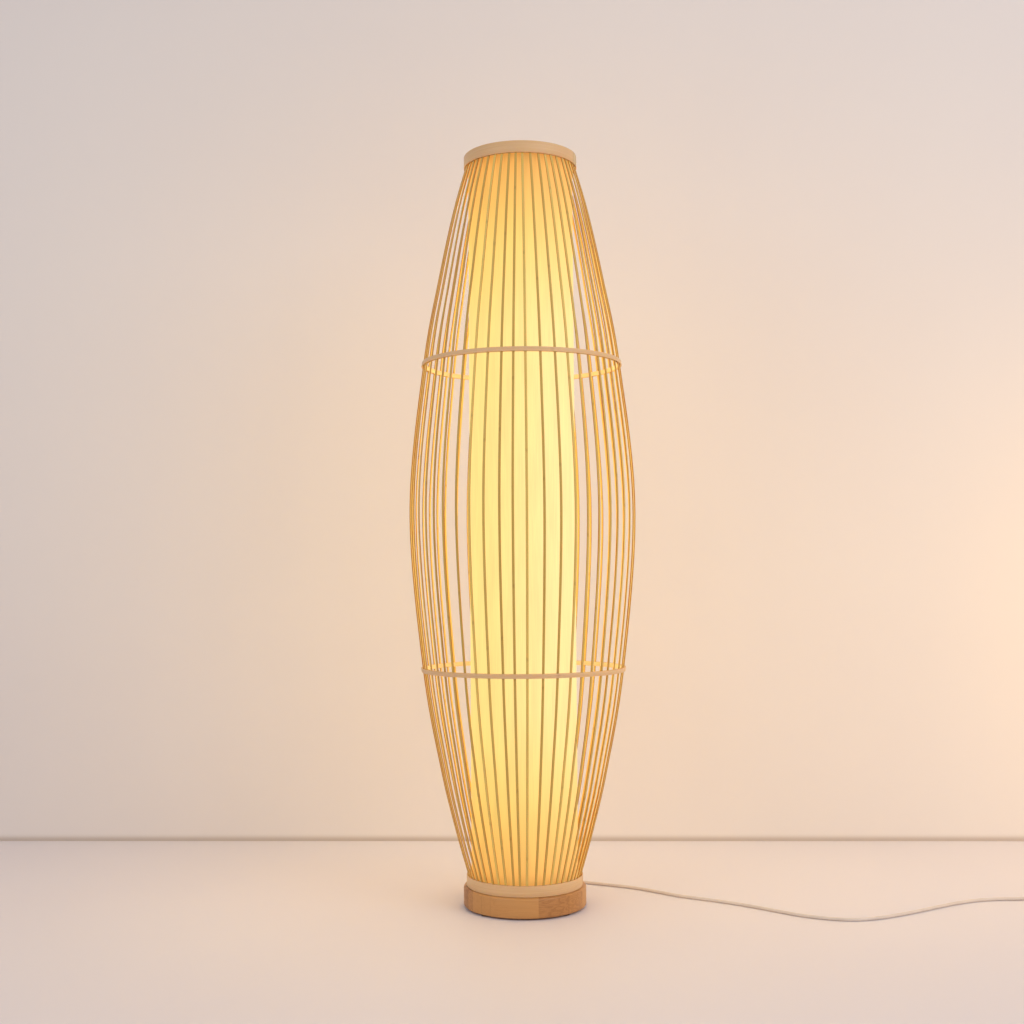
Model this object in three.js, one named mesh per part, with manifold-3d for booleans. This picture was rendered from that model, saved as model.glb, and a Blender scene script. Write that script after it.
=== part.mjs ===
// Rattan floor lamp, in millimetres with +Z up and the origin on the floor below its middle.
// A barrel cage of bent slats stands round a tall fabric shade on a turned wooden base.
// A stack on one threaded tube carries two bulbs, and a flex runs to a foot switch and a plug.
import * as THREE from 'three';
import { mergeVertices } from 'three/addons/utils/BufferGeometryUtils.js';
import Module from 'manifold-3d';

const wasm = await Module();
wasm.setup();

// Driving dimensions of the whole lamp
const LAMP_HEIGHT = 1200;
const GAP = 0.3; // left between pieces that touch
const BASE_RADIUS = 97;
const BASE_TOP = 33;
const PAD_HEIGHT = 2;

// The cage: slats between inner and outer strips
const SLAT_COUNT = 50;
const SLAT_WIDTH = 3.8;
const SLAT_THICKNESS = 2;
const FIRST_SLAT = THREE.MathUtils.degToRad(2.4); // the front slat, turned from -Y towards +X
const BOTTOM_BAND_HEIGHT = 17.2;
const TOP_BAND_HEIGHT = 18.8;
const BOTTOM_SLAT_RADIUS = 90.2; // outside of a slat inside the bottom band
const TOP_SLAT_RADIUS = 89.6;
const LOWER_HOOP_HEIGHT = 373;
const UPPER_HOOP_HEIGHT = 861;
const HOOP_WIDTH = 7;
const STRIP_THICKNESS = 2;
const BAND_THICKNESS = 1.7;

// The shade and what it hangs on
const SHADE_RADIUS = 85.2;
const SHADE_WALL = 1;
const SHADE_WIRE = 3;
const SHADE_WIRE_INSET = 18; // from each end of the shade to its wire ring

// The stack on the threaded tube
const ROD_RADIUS = 5;
const ROD_BORE = 3.4;
const SLEEVE_RADIUS = 8;
const LOCATOR_HEIGHT = 12; // of the disc on the base that the shade drops over
const LOWER_HOLDER_HEIGHT = 352.6;
const UPPER_HOLDER_HEIGHT = 714.6;
const ARM_REACH = 46;
const ARM_THICKNESS = 3;
const THREAD_IN_HOLDER = 10; // how far a tube screws into a lamp holder
const BULB_RADIUS = 30;

// The flex
const FLEX = 5;
const INNER_LEAD = 4; // the flex inside the lamp, without its sheath
const FLEX_ON_FLOOR = 2.6; // height of its centre line where it lies on the floor
const COIL_MIDDLE = 55; // across the middle of the turns
const COIL_TURNS = 4.5;
const COIL_STEPS = 24; // to a turn
const COIL_PITCH = 5.7;
const COIL_LAYER = 5.6;
const COIL_CENTRE = new THREE.Vector2(977, 41);
const SWITCH = {
  x: 885, y: 7, length: 76, width: 44, height: 21, corner: 13, rounding: 3, inlet: 6.5, well: 13.4,
  travel: 3,
};

const RING_STEPS = SLAT_COUNT; // a ring's corners lie on the slats
const bamboo = { color: 0xd2a56e, roughness: 0.6 };
const slatWood = { color: 0xb87a3c, roughness: 0.6 };
const baseWood = { color: 0xbc824c, roughness: 0.55 };
const fabric = { color: 0xf4e3b4, roughness: 0.9 };
const steel = { color: 0xb9babd, roughness: 0.35, metalness: 1 };
const brass = { color: 0xc9a65a, roughness: 0.35, metalness: 1 };
const whitePlastic = { color: 0xefebe2, roughness: 0.45 };
const opal = { color: 0xfff0d0, roughness: 0.3 };
const flexSkin = { color: 0xd8cbb6, roughness: 0.5 };
const felt = { color: 0x3b2a1e, roughness: 1 };

const lamp = new THREE.Group();

// Small tools for closed solids

function signedVolume(geometry) {
  const place = geometry.attributes.position;
  const corner = [0, 1, 2].map(() => new THREE.Vector3());
  let volume = 0;
  for (let i = 0; i < geometry.index.count; i += 3) {
    corner.forEach((c, j) => c.fromBufferAttribute(place, geometry.index.getX(i + j)));
    volume += corner[0].dot(corner[1].clone().cross(corner[2])) / 6;
  }
  return volume;
}

// Joins shared vertices, drops collapsed triangles and turns the faces outwards
function weld(geometry) {
  const bare = geometry.clone();
  bare.deleteAttribute('normal');
  bare.deleteAttribute('uv');
  const merged = mergeVertices(bare, 1e-4);
  const corners = Array.from(merged.index.array);
  const kept = [];
  for (let i = 0; i < corners.length; i += 3) {
    const [a, b, c] = corners.slice(i, i + 3);
    if (a !== b && b !== c && c !== a) kept.push(a, b, c);
  }
  merged.setIndex(kept);
  if (signedVolume(merged) < 0) {
    for (let i = 0; i < kept.length; i += 3) [kept[i], kept[i + 1]] = [kept[i + 1], kept[i]];
    merged.setIndex(kept);
  }
  return merged;
}

function toManifold(geometry) {
  const welded = weld(geometry);
  return new wasm.Manifold(new wasm.Mesh({
    numProp: 3,
    vertProperties: new Float32Array(welded.attributes.position.array),
    triVerts: new Uint32Array(welded.index.array),
  }));
}

function fromManifold(solid) {
  const mesh = solid.getMesh();
  const geometry = new THREE.BufferGeometry();
  geometry.setAttribute('position', new THREE.BufferAttribute(mesh.vertProperties, 3));
  geometry.setIndex(new THREE.BufferAttribute(mesh.triVerts, 1));
  return geometry;
}

function cut(body, ...tools) {
  return fromManifold(tools.reduce((left, tool) => left.subtract(toManifold(tool)), toManifold(body)));
}

function join(body, ...more) {
  return fromManifold(more.reduce((sum, piece) => sum.add(toManifold(piece)), toManifold(body)));
}

// A profile of [radius, height] pairs turned about Z, its first corner facing the front
function turned(profile, steps = 24, start = 0) {
  const points = profile.map(([radius, height]) => new THREE.Vector2(radius, height));
  return new THREE.LatheGeometry(points, steps, start).rotateX(Math.PI / 2);
}

// A ring whose four corners are given as [inner radius, outer radius, height], low then high
function ring(low, high, steps = 24, start = 0) {
  const profile = [[low[0], low[2]], [low[1], low[2]], [high[1], high[2]], [high[0], high[2]]];
  return turned([...profile, profile[0]], steps, start);
}

function tube(inner, outer, from, to, steps = 24, start = 0) {
  return ring([inner, outer, from], [inner, outer, to], steps, start);
}

function rod(radius, from, to, steps = 16) {
  return turned([[0, from], [radius, from], [radius, to], [0, to]], steps);
}

function box(width, depth, height, x, y, z) {
  return new THREE.BoxGeometry(width, depth, height).translate(x, y, z);
}

function roundedOutline(width, depth, radius) {
  const [w, d] = [width / 2 - radius, depth / 2 - radius];
  const outline = new THREE.Shape();
  outline.absarc(w, d, radius, 0, Math.PI / 2);
  outline.absarc(-w, d, radius, Math.PI / 2, Math.PI);
  outline.absarc(-w, -d, radius, Math.PI, Math.PI * 1.5);
  outline.absarc(w, -d, radius, Math.PI * 1.5, Math.PI * 2);
  return outline;
}

function circlePath(radius, x = 0, y = 0) {
  return new THREE.Path().absarc(x, y, radius, 0, Math.PI * 2, true);
}

// A route whose steps follow its own points, so that its bends get more of them than its runs
class Route extends THREE.CatmullRomCurve3 {
  getPointAt(share) {
    return this.getPoint(share);
  }

  getTangentAt(share) {
    return this.getTangent(share);
  }

  getSpacedPoints(count) {
    return this.getPoints(count);
  }
}

function flexAlong(curve, steps, sides = 8, diameter = FLEX) {
  const section = new THREE.Shape();
  for (let i = 0; i < sides; i += 1) {
    const turn = (2 * Math.PI * i) / sides;
    const corner = [(diameter / 2) * Math.cos(turn), (diameter / 2) * Math.sin(turn)];
    if (i === 0) section.moveTo(...corner);
    else section.lineTo(...corner);
  }
  section.closePath();
  return new THREE.ExtrudeGeometry(section, { steps, bevelEnabled: false, extrudePath: curve });
}

function add(name, geometry, look, group = lamp) {
  const mesh = new THREE.Mesh(weld(geometry), new THREE.MeshStandardMaterial(look));
  mesh.name = name;
  group.add(mesh);
  return mesh;
}

// The base

const LOCATOR_TOP = BASE_TOP + GAP + LOCATOR_HEIGHT;
const WOOD_BORE = ROD_RADIUS + 0.6;
const BASE_ROUNDING = 3;
const RECESS = { radius: 70, top: 17 };
const BALLAST = { radius: 68, bottom: 4, top: 16, eye: 16, screwCircle: 45 };
const CHANNEL = { width: 12, top: 13 };
const SCREW = { shank: 2.2, head: 4.5, headHeight: 2.4, headEdge: 0.8, depth: 22, point: 3, count: 3 };
const PAD = { radius: 9, circle: 84, count: 4 };
const RELIEF = { radius: 5, tip: 3.4, from: 80, to: 122, height: 7.3 };

function ballastScrewPlace(index) {
  const turn = (2 * Math.PI * index) / SCREW.count;
  return [BALLAST.screwCircle * Math.sin(turn), -BALLAST.screwCircle * Math.cos(turn)];
}

// Clearance holes for the ballast screws, from one height to another
function screwHoles(from, to) {
  return Array.from({ length: SCREW.count }, (_, i) => {
    const [x, y] = ballastScrewPlace(i);
    return rod(SCREW.shank + GAP, from, to, 10).translate(x, y, 0);
  });
}

function baseDisc() {
  const low = PAD_HEIGHT + GAP;
  const bend = 0.3 * BASE_ROUNDING;
  const disc = turned([
    [WOOD_BORE, RECESS.top], [RECESS.radius, RECESS.top], [RECESS.radius, low],
    [BASE_RADIUS - BASE_ROUNDING, low], [BASE_RADIUS - bend, low + bend], [BASE_RADIUS, low + BASE_ROUNDING],
    [BASE_RADIUS, BASE_TOP - BASE_ROUNDING], [BASE_RADIUS - bend, BASE_TOP - bend],
    [BASE_RADIUS - BASE_ROUNDING, BASE_TOP], [WOOD_BORE, BASE_TOP], [WOOD_BORE, RECESS.top],
  ], 40);
  const from = RECESS.radius / 2;
  const reach = BASE_RADIUS + 5 - from;
  const channel = box(CHANNEL.width, reach, CHANNEL.top, 0, from + reach / 2, CHANNEL.top / 2);
  const pilots = screwHoles(BALLAST.top, BALLAST.bottom + SCREW.depth + GAP);
  add('base_disc', cut(disc, channel, ...pilots), baseWood);
}

function ballast() {
  const plate = tube(BALLAST.eye, BALLAST.radius, BALLAST.bottom, BALLAST.top, 24);
  const slotMiddle = BALLAST.eye + BALLAST.radius / 2 - 4;
  const slot = box(CHANNEL.width, BALLAST.radius, 2 * BALLAST.top, 0, slotMiddle, BALLAST.top);
  add('ballast_plate', cut(plate, slot, ...screwHoles(0, 2 * BALLAST.top)), steel);
  const under = BALLAST.bottom - GAP;
  const tip = BALLAST.bottom + SCREW.depth;
  for (let i = 0; i < SCREW.count; i += 1) {
    const [x, y] = ballastScrewPlace(i);
    const screw = turned([
      [0, under - SCREW.headHeight], [SCREW.head * 0.7, under - SCREW.headHeight],
      [SCREW.head, under - SCREW.headEdge], [SCREW.head, under], [SCREW.shank, under],
      [SCREW.shank, tip - SCREW.point], [0, tip],
    ], 10);
    add(`ballast_screw_${i + 1}`, screw.translate(x, y, 0), steel);
  }
}

function footPads() {
  for (let i = 0; i < PAD.count; i += 1) {
    const turn = (Math.PI / 2) * i + Math.PI / 4;
    const [x, y] = [PAD.circle * Math.sin(turn), -PAD.circle * Math.cos(turn)];
    add(`foot_pad_${i + 1}`, rod(PAD.radius, 0, PAD_HEIGHT, 14).translate(x, y, 0), felt);
  }
}

function locatingDisc() {
  const clearance = 0.8;
  const chamfer = 2;
  const edge = SHADE_RADIUS - SHADE_WALL - clearance;
  const low = BASE_TOP + GAP;
  add('locating_disc', turned([
    [WOOD_BORE, low], [edge, low], [edge, LOCATOR_TOP - chamfer], [edge - chamfer, LOCATOR_TOP],
    [WOOD_BORE, LOCATOR_TOP], [WOOD_BORE, low],
  ], 30), baseWood);
}

// The clamped stack: nut, washer, base, flange, sleeve, arm, sleeve and upper holder

const WASHER = { radius: 11, thickness: 1.4 };
const POLE_NUT = { across: 16, height: 5 };
const ARM_NUT = { across: 14, height: 4 };
const FLANGE_HEIGHT = 13;
const FLANGE_OUTSIDE = [[30, 0], [30, 1.5], [26, 3.5], [11.5, 5], [9.5, FLANGE_HEIGHT]]; // radius, height
const SLEEVE_BOTTOM = LOCATOR_TOP + GAP + FLANGE_HEIGHT + GAP;
const ARM_BOTTOM = LOWER_HOLDER_HEIGHT - GAP - ARM_THICKNESS;
const BRANCH_EXIT = ARM_BOTTOM - 28; // where the branch lead leaves the sleeve
const BRANCH_HOLE = 3; // radius
const NIPPLE_DROP = 7; // of the lower holder's nipple below the arm

function hexNut(across, height, bore) {
  const outline = new THREE.Shape();
  const reach = across / Math.sqrt(3);
  for (let i = 0; i < 6; i += 1) {
    const turn = (Math.PI / 3) * i;
    const corner = [reach * Math.cos(turn), reach * Math.sin(turn)];
    if (i === 0) outline.moveTo(...corner);
    else outline.lineTo(...corner);
  }
  outline.closePath();
  outline.holes.push(circlePath(bore));
  return new THREE.ExtrudeGeometry(outline, { depth: height, bevelEnabled: false, curveSegments: 6 });
}

function poleStack() {
  const bore = ROD_RADIUS + GAP;
  const washerTop = RECESS.top - GAP;
  const washerBottom = washerTop - WASHER.thickness;
  const nutBottom = washerBottom - GAP - POLE_NUT.height;
  const tubeBottom = nutBottom - 0.4;
  const tubeTop = UPPER_HOLDER_HEIGHT + THREAD_IN_HOLDER;
  add('threaded_tube', tube(ROD_BORE, ROD_RADIUS, tubeBottom, tubeTop, 12), steel);
  add('pole_washer', tube(bore, WASHER.radius, washerBottom, washerTop, 16), steel);
  add('pole_nut', hexNut(POLE_NUT.across, POLE_NUT.height, bore).translate(0, 0, nutBottom), steel);
  const flange = turned([[bore, 0], ...FLANGE_OUTSIDE, [bore, FLANGE_HEIGHT], [bore, 0]], 18);
  add('base_flange', flange.translate(0, 0, LOCATOR_TOP + GAP), brass);
  const lowerSleeve = tube(bore, SLEEVE_RADIUS, SLEEVE_BOTTOM, ARM_BOTTOM - GAP, 16);
  const outlet = rod(BRANCH_HOLE, 0, 2 * SLEEVE_RADIUS, 8).rotateY(Math.PI / 2).translate(0, 0, BRANCH_EXIT);
  add('lower_sleeve', cut(lowerSleeve, outlet), brass);
  const upperBottom = ARM_BOTTOM + ARM_THICKNESS + GAP;
  add('upper_sleeve', tube(bore, SLEEVE_RADIUS, upperBottom, UPPER_HOLDER_HEIGHT - GAP, 16), brass);
}

function holderArm() {
  const bore = ROD_RADIUS + GAP;
  const end = 10;
  const outline = roundedOutline(ARM_REACH + 2 * end, 2 * end, end - 0.01);
  const eyes = [0, ARM_REACH].map((x) => circlePath(bore, x - ARM_REACH / 2));
  outline.holes.push(...eyes);
  const arm = new THREE.ExtrudeGeometry(outline, {
    depth: ARM_THICKNESS, bevelEnabled: false, curveSegments: 5,
  });
  add('holder_arm', arm.translate(ARM_REACH / 2, 0, ARM_BOTTOM), steel);
  const nut = hexNut(ARM_NUT.across, ARM_NUT.height, bore);
  add('arm_nut', nut.translate(ARM_REACH, 0, ARM_BOTTOM - GAP - ARM_NUT.height), steel);
  const nippleTop = LOWER_HOLDER_HEIGHT + THREAD_IN_HOLDER;
  const nipple = tube(ROD_BORE, ROD_RADIUS, ARM_BOTTOM - NIPPLE_DROP, nippleTop, 12);
  add('arm_nipple', nipple.translate(ARM_REACH, 0, 0), steel);
}

// A screw lamp holder and its bulb, both standing on z = 0

const HOLDER = { radius: 20.5, wall: 2, capHeight: 14, height: 52 };
const INSULATOR = { contact: 6, floor: 21, top: 23 };
const THREAD = { clearance: 0.7, sheet: 0.7, belowRim: 6 };
const BULB = { capRadius: 13.2, capTop: 48, collarTop: 84, globeCentre: 98 };
// Radius and height, each from the piece's own foot
const CAP_FOOT = [[0, 0], [4.5, 0], [6, 2], [BULB.capRadius - 1.5, 4.5], [BULB.capRadius, 7]];
const COLLAR_OUTSIDE = [[BULB.capRadius + 0.4, 0], [BULB.capRadius + 0.8, 4], [18, 12], [24.5, 26]];
const COLLAR_RIM = 26.6;

function lampHolder(side, group) {
  const [bore, outside, cap] = [ROD_RADIUS + GAP, HOLDER.radius, HOLDER.capHeight];
  add(`${side}_holder_cap`, turned([
    [bore, 0], [outside - 4, 0], [outside - 1, 3], [outside - 1, cap], [bore, cap], [bore, 0],
  ], 16), whitePlastic, group);
  const low = cap + GAP;
  const inside = outside - HOLDER.wall;
  add(`${side}_holder_shell`, turned([
    [inside, low], [outside - 1, low], [outside, low + 2.7], [outside, HOLDER.height],
    [inside, HOLDER.height], [inside, low],
  ], 16), whitePlastic, group);
  const rim = inside - 2 * GAP;
  add(`${side}_holder_insulator`, turned([
    [0, low], [rim, low], [rim, INSULATOR.floor], [INSULATOR.contact, INSULATOR.floor],
    [INSULATOR.contact, INSULATOR.top], [0, INSULATOR.top],
  ], 16), whitePlastic, group);
  const threadRadius = BULB.capRadius + THREAD.clearance;
  add(`${side}_holder_thread`, tube(
    threadRadius, threadRadius + THREAD.sheet, INSULATOR.floor + GAP, HOLDER.height - THREAD.belowRim, 16,
  ), brass, group);
}

function bulb(side, group) {
  const foot = INSULATOR.top + GAP;
  const capHeight = BULB.capTop - foot;
  const cap = turned([...CAP_FOOT, [BULB.capRadius, capHeight], [0, capHeight]], 16);
  add(`${side}_bulb_cap`, cap.translate(0, 0, foot), steel, group);
  const collarFoot = BULB.capTop + GAP;
  const collarHeight = BULB.collarTop - collarFoot;
  const collar = turned([[0, 0], ...COLLAR_OUTSIDE, [COLLAR_RIM, collarHeight], [0, collarHeight]], 16);
  add(`${side}_bulb_collar`, collar.translate(0, 0, collarFoot), whitePlastic, group);
  const low = BULB.collarTop + GAP - BULB.globeCentre;
  const first = Math.asin(low / BULB_RADIUS);
  const profile = [[0, BULB.globeCentre + low]];
  const rings = 7;
  for (let i = 0; i <= rings; i += 1) {
    const rise = first + ((Math.PI / 2 - first) * i) / rings;
    const radius = i < rings ? BULB_RADIUS * Math.cos(rise) : 0;
    profile.push([radius, BULB.globeCentre + BULB_RADIUS * Math.sin(rise)]);
  }
  add(`${side}_bulb_globe`, turned(profile, 16), opal, group);
}

function lights() {
  const lower = new THREE.Group();
  lower.position.set(ARM_REACH, 0, LOWER_HOLDER_HEIGHT);
  const upper = new THREE.Group();
  upper.position.set(0, 0, UPPER_HOLDER_HEIGHT);
  lamp.add(lower, upper);
  lampHolder('lower', lower);
  lampHolder('upper', upper);
  bulb('lower', lower);
  bulb('upper', upper);
}

// The leads inside the lamp

function innerLeads() {
  const main = new Route([
    [0, RELIEF.from - GAP, RELIEF.height], [0, 66, 7.2], [0, 46, 6], [0, 28, 4.2], [0, 14, 3],
    [0, 6, 3.6], [0, 1.4, 6.6], [0, 0.2, 11], [0, 0, 20], [0, 0, 60],
    [0, 0, UPPER_HOLDER_HEIGHT - 40], [0, 0, UPPER_HOLDER_HEIGHT + 9],
  ].map((p) => new THREE.Vector3(...p)), false, 'centripetal');
  add('main_lead', flexAlong(main, 3 * (main.points.length - 1), 6, INNER_LEAD), flexSkin);
  const branch = new Route([
    [SLEEVE_RADIUS - 1.6, 0, BRANCH_EXIT], [14, 0, BRANCH_EXIT], [26, 0, BRANCH_EXIT - 5],
    [38, 0, BRANCH_EXIT - 3], [ARM_REACH - 1, 0, BRANCH_EXIT + 8], [ARM_REACH, 0, BRANCH_EXIT + 22],
    [ARM_REACH, 0, LOWER_HOLDER_HEIGHT + 9],
  ].map((p) => new THREE.Vector3(...p)));
  add('branch_lead', flexAlong(branch, 2 * (branch.points.length - 1), 6, INNER_LEAD), flexSkin);
}

// The cage

const CAGE_BOTTOM = BASE_TOP + GAP;
const BOTTOM_BAND_TOP = CAGE_BOTTOM + BOTTOM_BAND_HEIGHT;
const TOP_BAND_BOTTOM = LAMP_HEIGHT - TOP_BAND_HEIGHT;

// Outside of a slat as the maker would measure it: bands, hoops, middle and places between them
const belly = new THREE.SplineCurve([
  [BOTTOM_SLAT_RADIUS, BOTTOM_BAND_TOP], [109.9, 120], [132.7, 215], [160.6, LOWER_HOOP_HEIGHT],
  [181.3, 625], [158.7, UPPER_HOOP_HEIGHT], [133.5, 1000], [109.6, 1110], [TOP_SLAT_RADIUS, TOP_BAND_BOTTOM],
].map(([radius, height]) => new THREE.Vector2(radius, height)));
const bellyPoints = belly.getPoints(600);

function slatRadius(height) {
  const above = bellyPoints.findIndex((point) => point.y >= height - 1e-6);
  if (above <= 0) return bellyPoints[0].x;
  const [low, high] = [bellyPoints[above - 1], bellyPoints[above]];
  return low.x + ((high.x - low.x) * (height - low.y)) / (high.y - low.y);
}

// Heights of a slat's corners: straight behind each hoop, and a few spans between them
function slatHeights() {
  const half = HOOP_WIDTH / 2;
  const stations = [
    BOTTOM_BAND_TOP, LOWER_HOOP_HEIGHT - half, LOWER_HOOP_HEIGHT + half,
    UPPER_HOOP_HEIGHT - half, UPPER_HOOP_HEIGHT + half, TOP_BAND_BOTTOM,
  ];
  const spans = [2, 1, 4, 1, 2];
  const heights = [stations[0]];
  spans.forEach((count, i) => {
    for (let k = 1; k <= count; k += 1) {
      heights.push(stations[i] + ((stations[i + 1] - stations[i]) * k) / count);
    }
  });
  return heights;
}

function slat(index) {
  const outside = slatHeights().map((height) => [slatRadius(height), height]);
  outside.unshift([BOTTOM_SLAT_RADIUS, CAGE_BOTTOM]);
  outside.push([TOP_SLAT_RADIUS, LAMP_HEIGHT - GAP]);
  const inside = outside.map(([radius, height]) => [radius - SLAT_THICKNESS, height]).reverse();
  const outline = new THREE.Shape([...outside, ...inside].map((point) => new THREE.Vector2(...point)));
  const strip = new THREE.ExtrudeGeometry(outline, { depth: SLAT_WIDTH, bevelEnabled: false });
  strip.translate(0, 0, -SLAT_WIDTH / 2).rotateX(Math.PI / 2);
  return strip.rotateZ(FIRST_SLAT + (2 * Math.PI * index) / SLAT_COUNT - Math.PI / 2);
}

// A hoop strip leans with the slats that it lies against
function hoop(name, height, inside) {
  const edges = [height - HOOP_WIDTH / 2, height + HOOP_WIDTH / 2].map((z) => {
    const face = inside ? slatRadius(z) - SLAT_THICKNESS - GAP - STRIP_THICKNESS : slatRadius(z) + GAP;
    return [face, face + STRIP_THICKNESS, z];
  });
  add(name, ring(edges[0], edges[1], RING_STEPS, FIRST_SLAT), bamboo);
}

function cage() {
  const [low, high] = [BOTTOM_BAND_TOP - GAP, TOP_BAND_BOTTOM + GAP];
  const linerFace = SHADE_RADIUS + 0.4;
  const bottomLiner = tube(
    linerFace, BOTTOM_SLAT_RADIUS - SLAT_THICKNESS + GAP, CAGE_BOTTOM, low, RING_STEPS, FIRST_SLAT,
  );
  const slats = Array.from({ length: SLAT_COUNT }, (_, i) => slat(i));
  add('slat_cage', join(bottomLiner, ...slats), slatWood);
  add('top_band_liner', tube(
    linerFace, TOP_SLAT_RADIUS - SLAT_THICKNESS - GAP, high, LAMP_HEIGHT - GAP, RING_STEPS, FIRST_SLAT,
  ), bamboo);
  const bottomFace = BOTTOM_SLAT_RADIUS + GAP;
  add('bottom_band', tube(
    bottomFace, bottomFace + BAND_THICKNESS, CAGE_BOTTOM, BOTTOM_BAND_TOP, RING_STEPS, FIRST_SLAT,
  ), bamboo);
  const topFace = TOP_SLAT_RADIUS + GAP;
  add('top_band', tube(
    topFace, topFace + BAND_THICKNESS, TOP_BAND_BOTTOM, LAMP_HEIGHT, RING_STEPS, FIRST_SLAT,
  ), bamboo);
  hoop('lower_hoop', LOWER_HOOP_HEIGHT, false);
  hoop('lower_hoop_liner', LOWER_HOOP_HEIGHT, true);
  hoop('upper_hoop', UPPER_HOOP_HEIGHT, false);
  hoop('upper_hoop_liner', UPPER_HOOP_HEIGHT, true);
}

function shade() {
  const [low, high] = [CAGE_BOTTOM + 0.5, LAMP_HEIGHT - 1];
  const inner = SHADE_RADIUS - SHADE_WALL;
  add('shade', tube(inner, SHADE_RADIUS, low, high, RING_STEPS, FIRST_SLAT), fabric);
  const wire = SHADE_WIRE / 2;
  const middle = inner - 0.5 - wire;
  [['bottom', low + SHADE_WIRE_INSET], ['top', high - SHADE_WIRE_INSET]].forEach(([end, height]) => {
    const profile = [0, 1, 2, 3, 4, 5, 0].map((i) => {
      const turn = (Math.PI / 3) * i;
      return [middle + wire * Math.cos(turn), height + wire * Math.sin(turn)];
    });
    add(`shade_${end}_wire`, turned(profile, 24), steel);
  });
}

// The flex: route points by hand, in plan from the base to the foot switch

const SLEEVE = { length: 15, radius: 4.6, tip: 3.4 };
const SLEEVE_TIP = SWITCH.x - SWITCH.length / 2 - SLEEVE.length - 2 * GAP;
const LEAD_ROUTE = [
  [0, RELIEF.to + GAP, RELIEF.height], [0, 134, 6.4], [4, 149, 4.2], [15, 161, 2.8], [33, 167], [55, 165],
  [79, 154], [102, 140], [130, 126], [161, 111], [190, 93], [220, 68], [250, 42], [280, 23], [310, 5],
  [338, -15], [365, -37], [391, -60], [417, -82], [444, -98], [471, -108], [502, -110], [534, -101],
  [569, -84], [606, -62], [645, -37], [684, -14], [720, 1], [753, 7], [784, SWITCH.y, 2.8],
  [808, SWITCH.y, 4.6], [SLEEVE_TIP, SWITCH.y, SWITCH.inlet],
];

function floorCurve(route) {
  const points = route.map(([x, y, z = FLEX_ON_FLOOR]) => new THREE.Vector3(x, y, z));
  return new THREE.CatmullRomCurve3(points, false, 'centripetal');
}

// Centre line of the coil: in along the floor, up a layer at the reversal, and out again above
function coilPoint(turns) {
  const half = COIL_TURNS / 2;
  const fromReversal = turns - half;
  const radius = COIL_MIDDLE / 2 + COIL_PITCH * (Math.abs(fromReversal) - half / 2);
  const climb = THREE.MathUtils.clamp(fromReversal / 0.5 + 0.5, 0, 1);
  const angle = 2 * Math.PI * turns - Math.PI / 2;
  return new THREE.Vector3(
    COIL_CENTRE.x + radius * Math.cos(angle),
    COIL_CENTRE.y + radius * Math.sin(angle),
    FLEX_ON_FLOOR + COIL_LAYER * climb * climb * (3 - 2 * climb),
  );
}

function coilCentreLine() {
  const steps = Math.round(COIL_TURNS * COIL_STEPS);
  const turns = Array.from({ length: steps + 1 }, (_, i) => coilPoint((COIL_TURNS * i) / steps));
  const [start, end] = [turns[0].clone(), turns[steps].clone()];
  start.x -= FLEX;
  end.x -= FLEX;
  return [start, ...turns, end];
}

// A tube whose rings stand on the given points, square to the path, closed at both ends
function tubeThrough(points, sides, diameter) {
  const places = [];
  const faces = [];
  const up = new THREE.Vector3(0, 0, 1);
  points.forEach((point, i) => {
    const before = points[Math.max(i - 1, 0)];
    const after = points[Math.min(i + 1, points.length - 1)];
    const along = after.clone().sub(before).normalize();
    const across = along.clone().cross(up).normalize();
    const over = across.clone().cross(along);
    for (let k = 0; k < sides; k += 1) {
      const turn = (2 * Math.PI * (k + 0.5)) / sides;
      const rim = point.clone().addScaledVector(across, (diameter / 2) * Math.cos(turn));
      places.push(...rim.addScaledVector(over, (diameter / 2) * Math.sin(turn)).toArray());
      if (i < points.length - 1) {
        const [a, b] = [i * sides + k, i * sides + ((k + 1) % sides)];
        faces.push(a, b, a + sides, b, b + sides, a + sides);
      }
    }
  });
  const last = (points.length - 1) * sides;
  for (let k = 1; k < sides - 1; k += 1) faces.push(0, k + 1, k, last, last + k, last + k + 1);
  const geometry = new THREE.BufferGeometry();
  geometry.setAttribute('position', new THREE.Float32BufferAttribute(places, 3));
  geometry.setIndex(faces);
  return geometry;
}

const PLUG = {
  length: 36, width: 35, thickness: 13.6, neck: 14, rounding: 1.2, tail: 22, tailTip: 3.4, tailRadius: 5,
};
const PIN = { radius: 2, spacing: 18.6, length: 19 };

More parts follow.
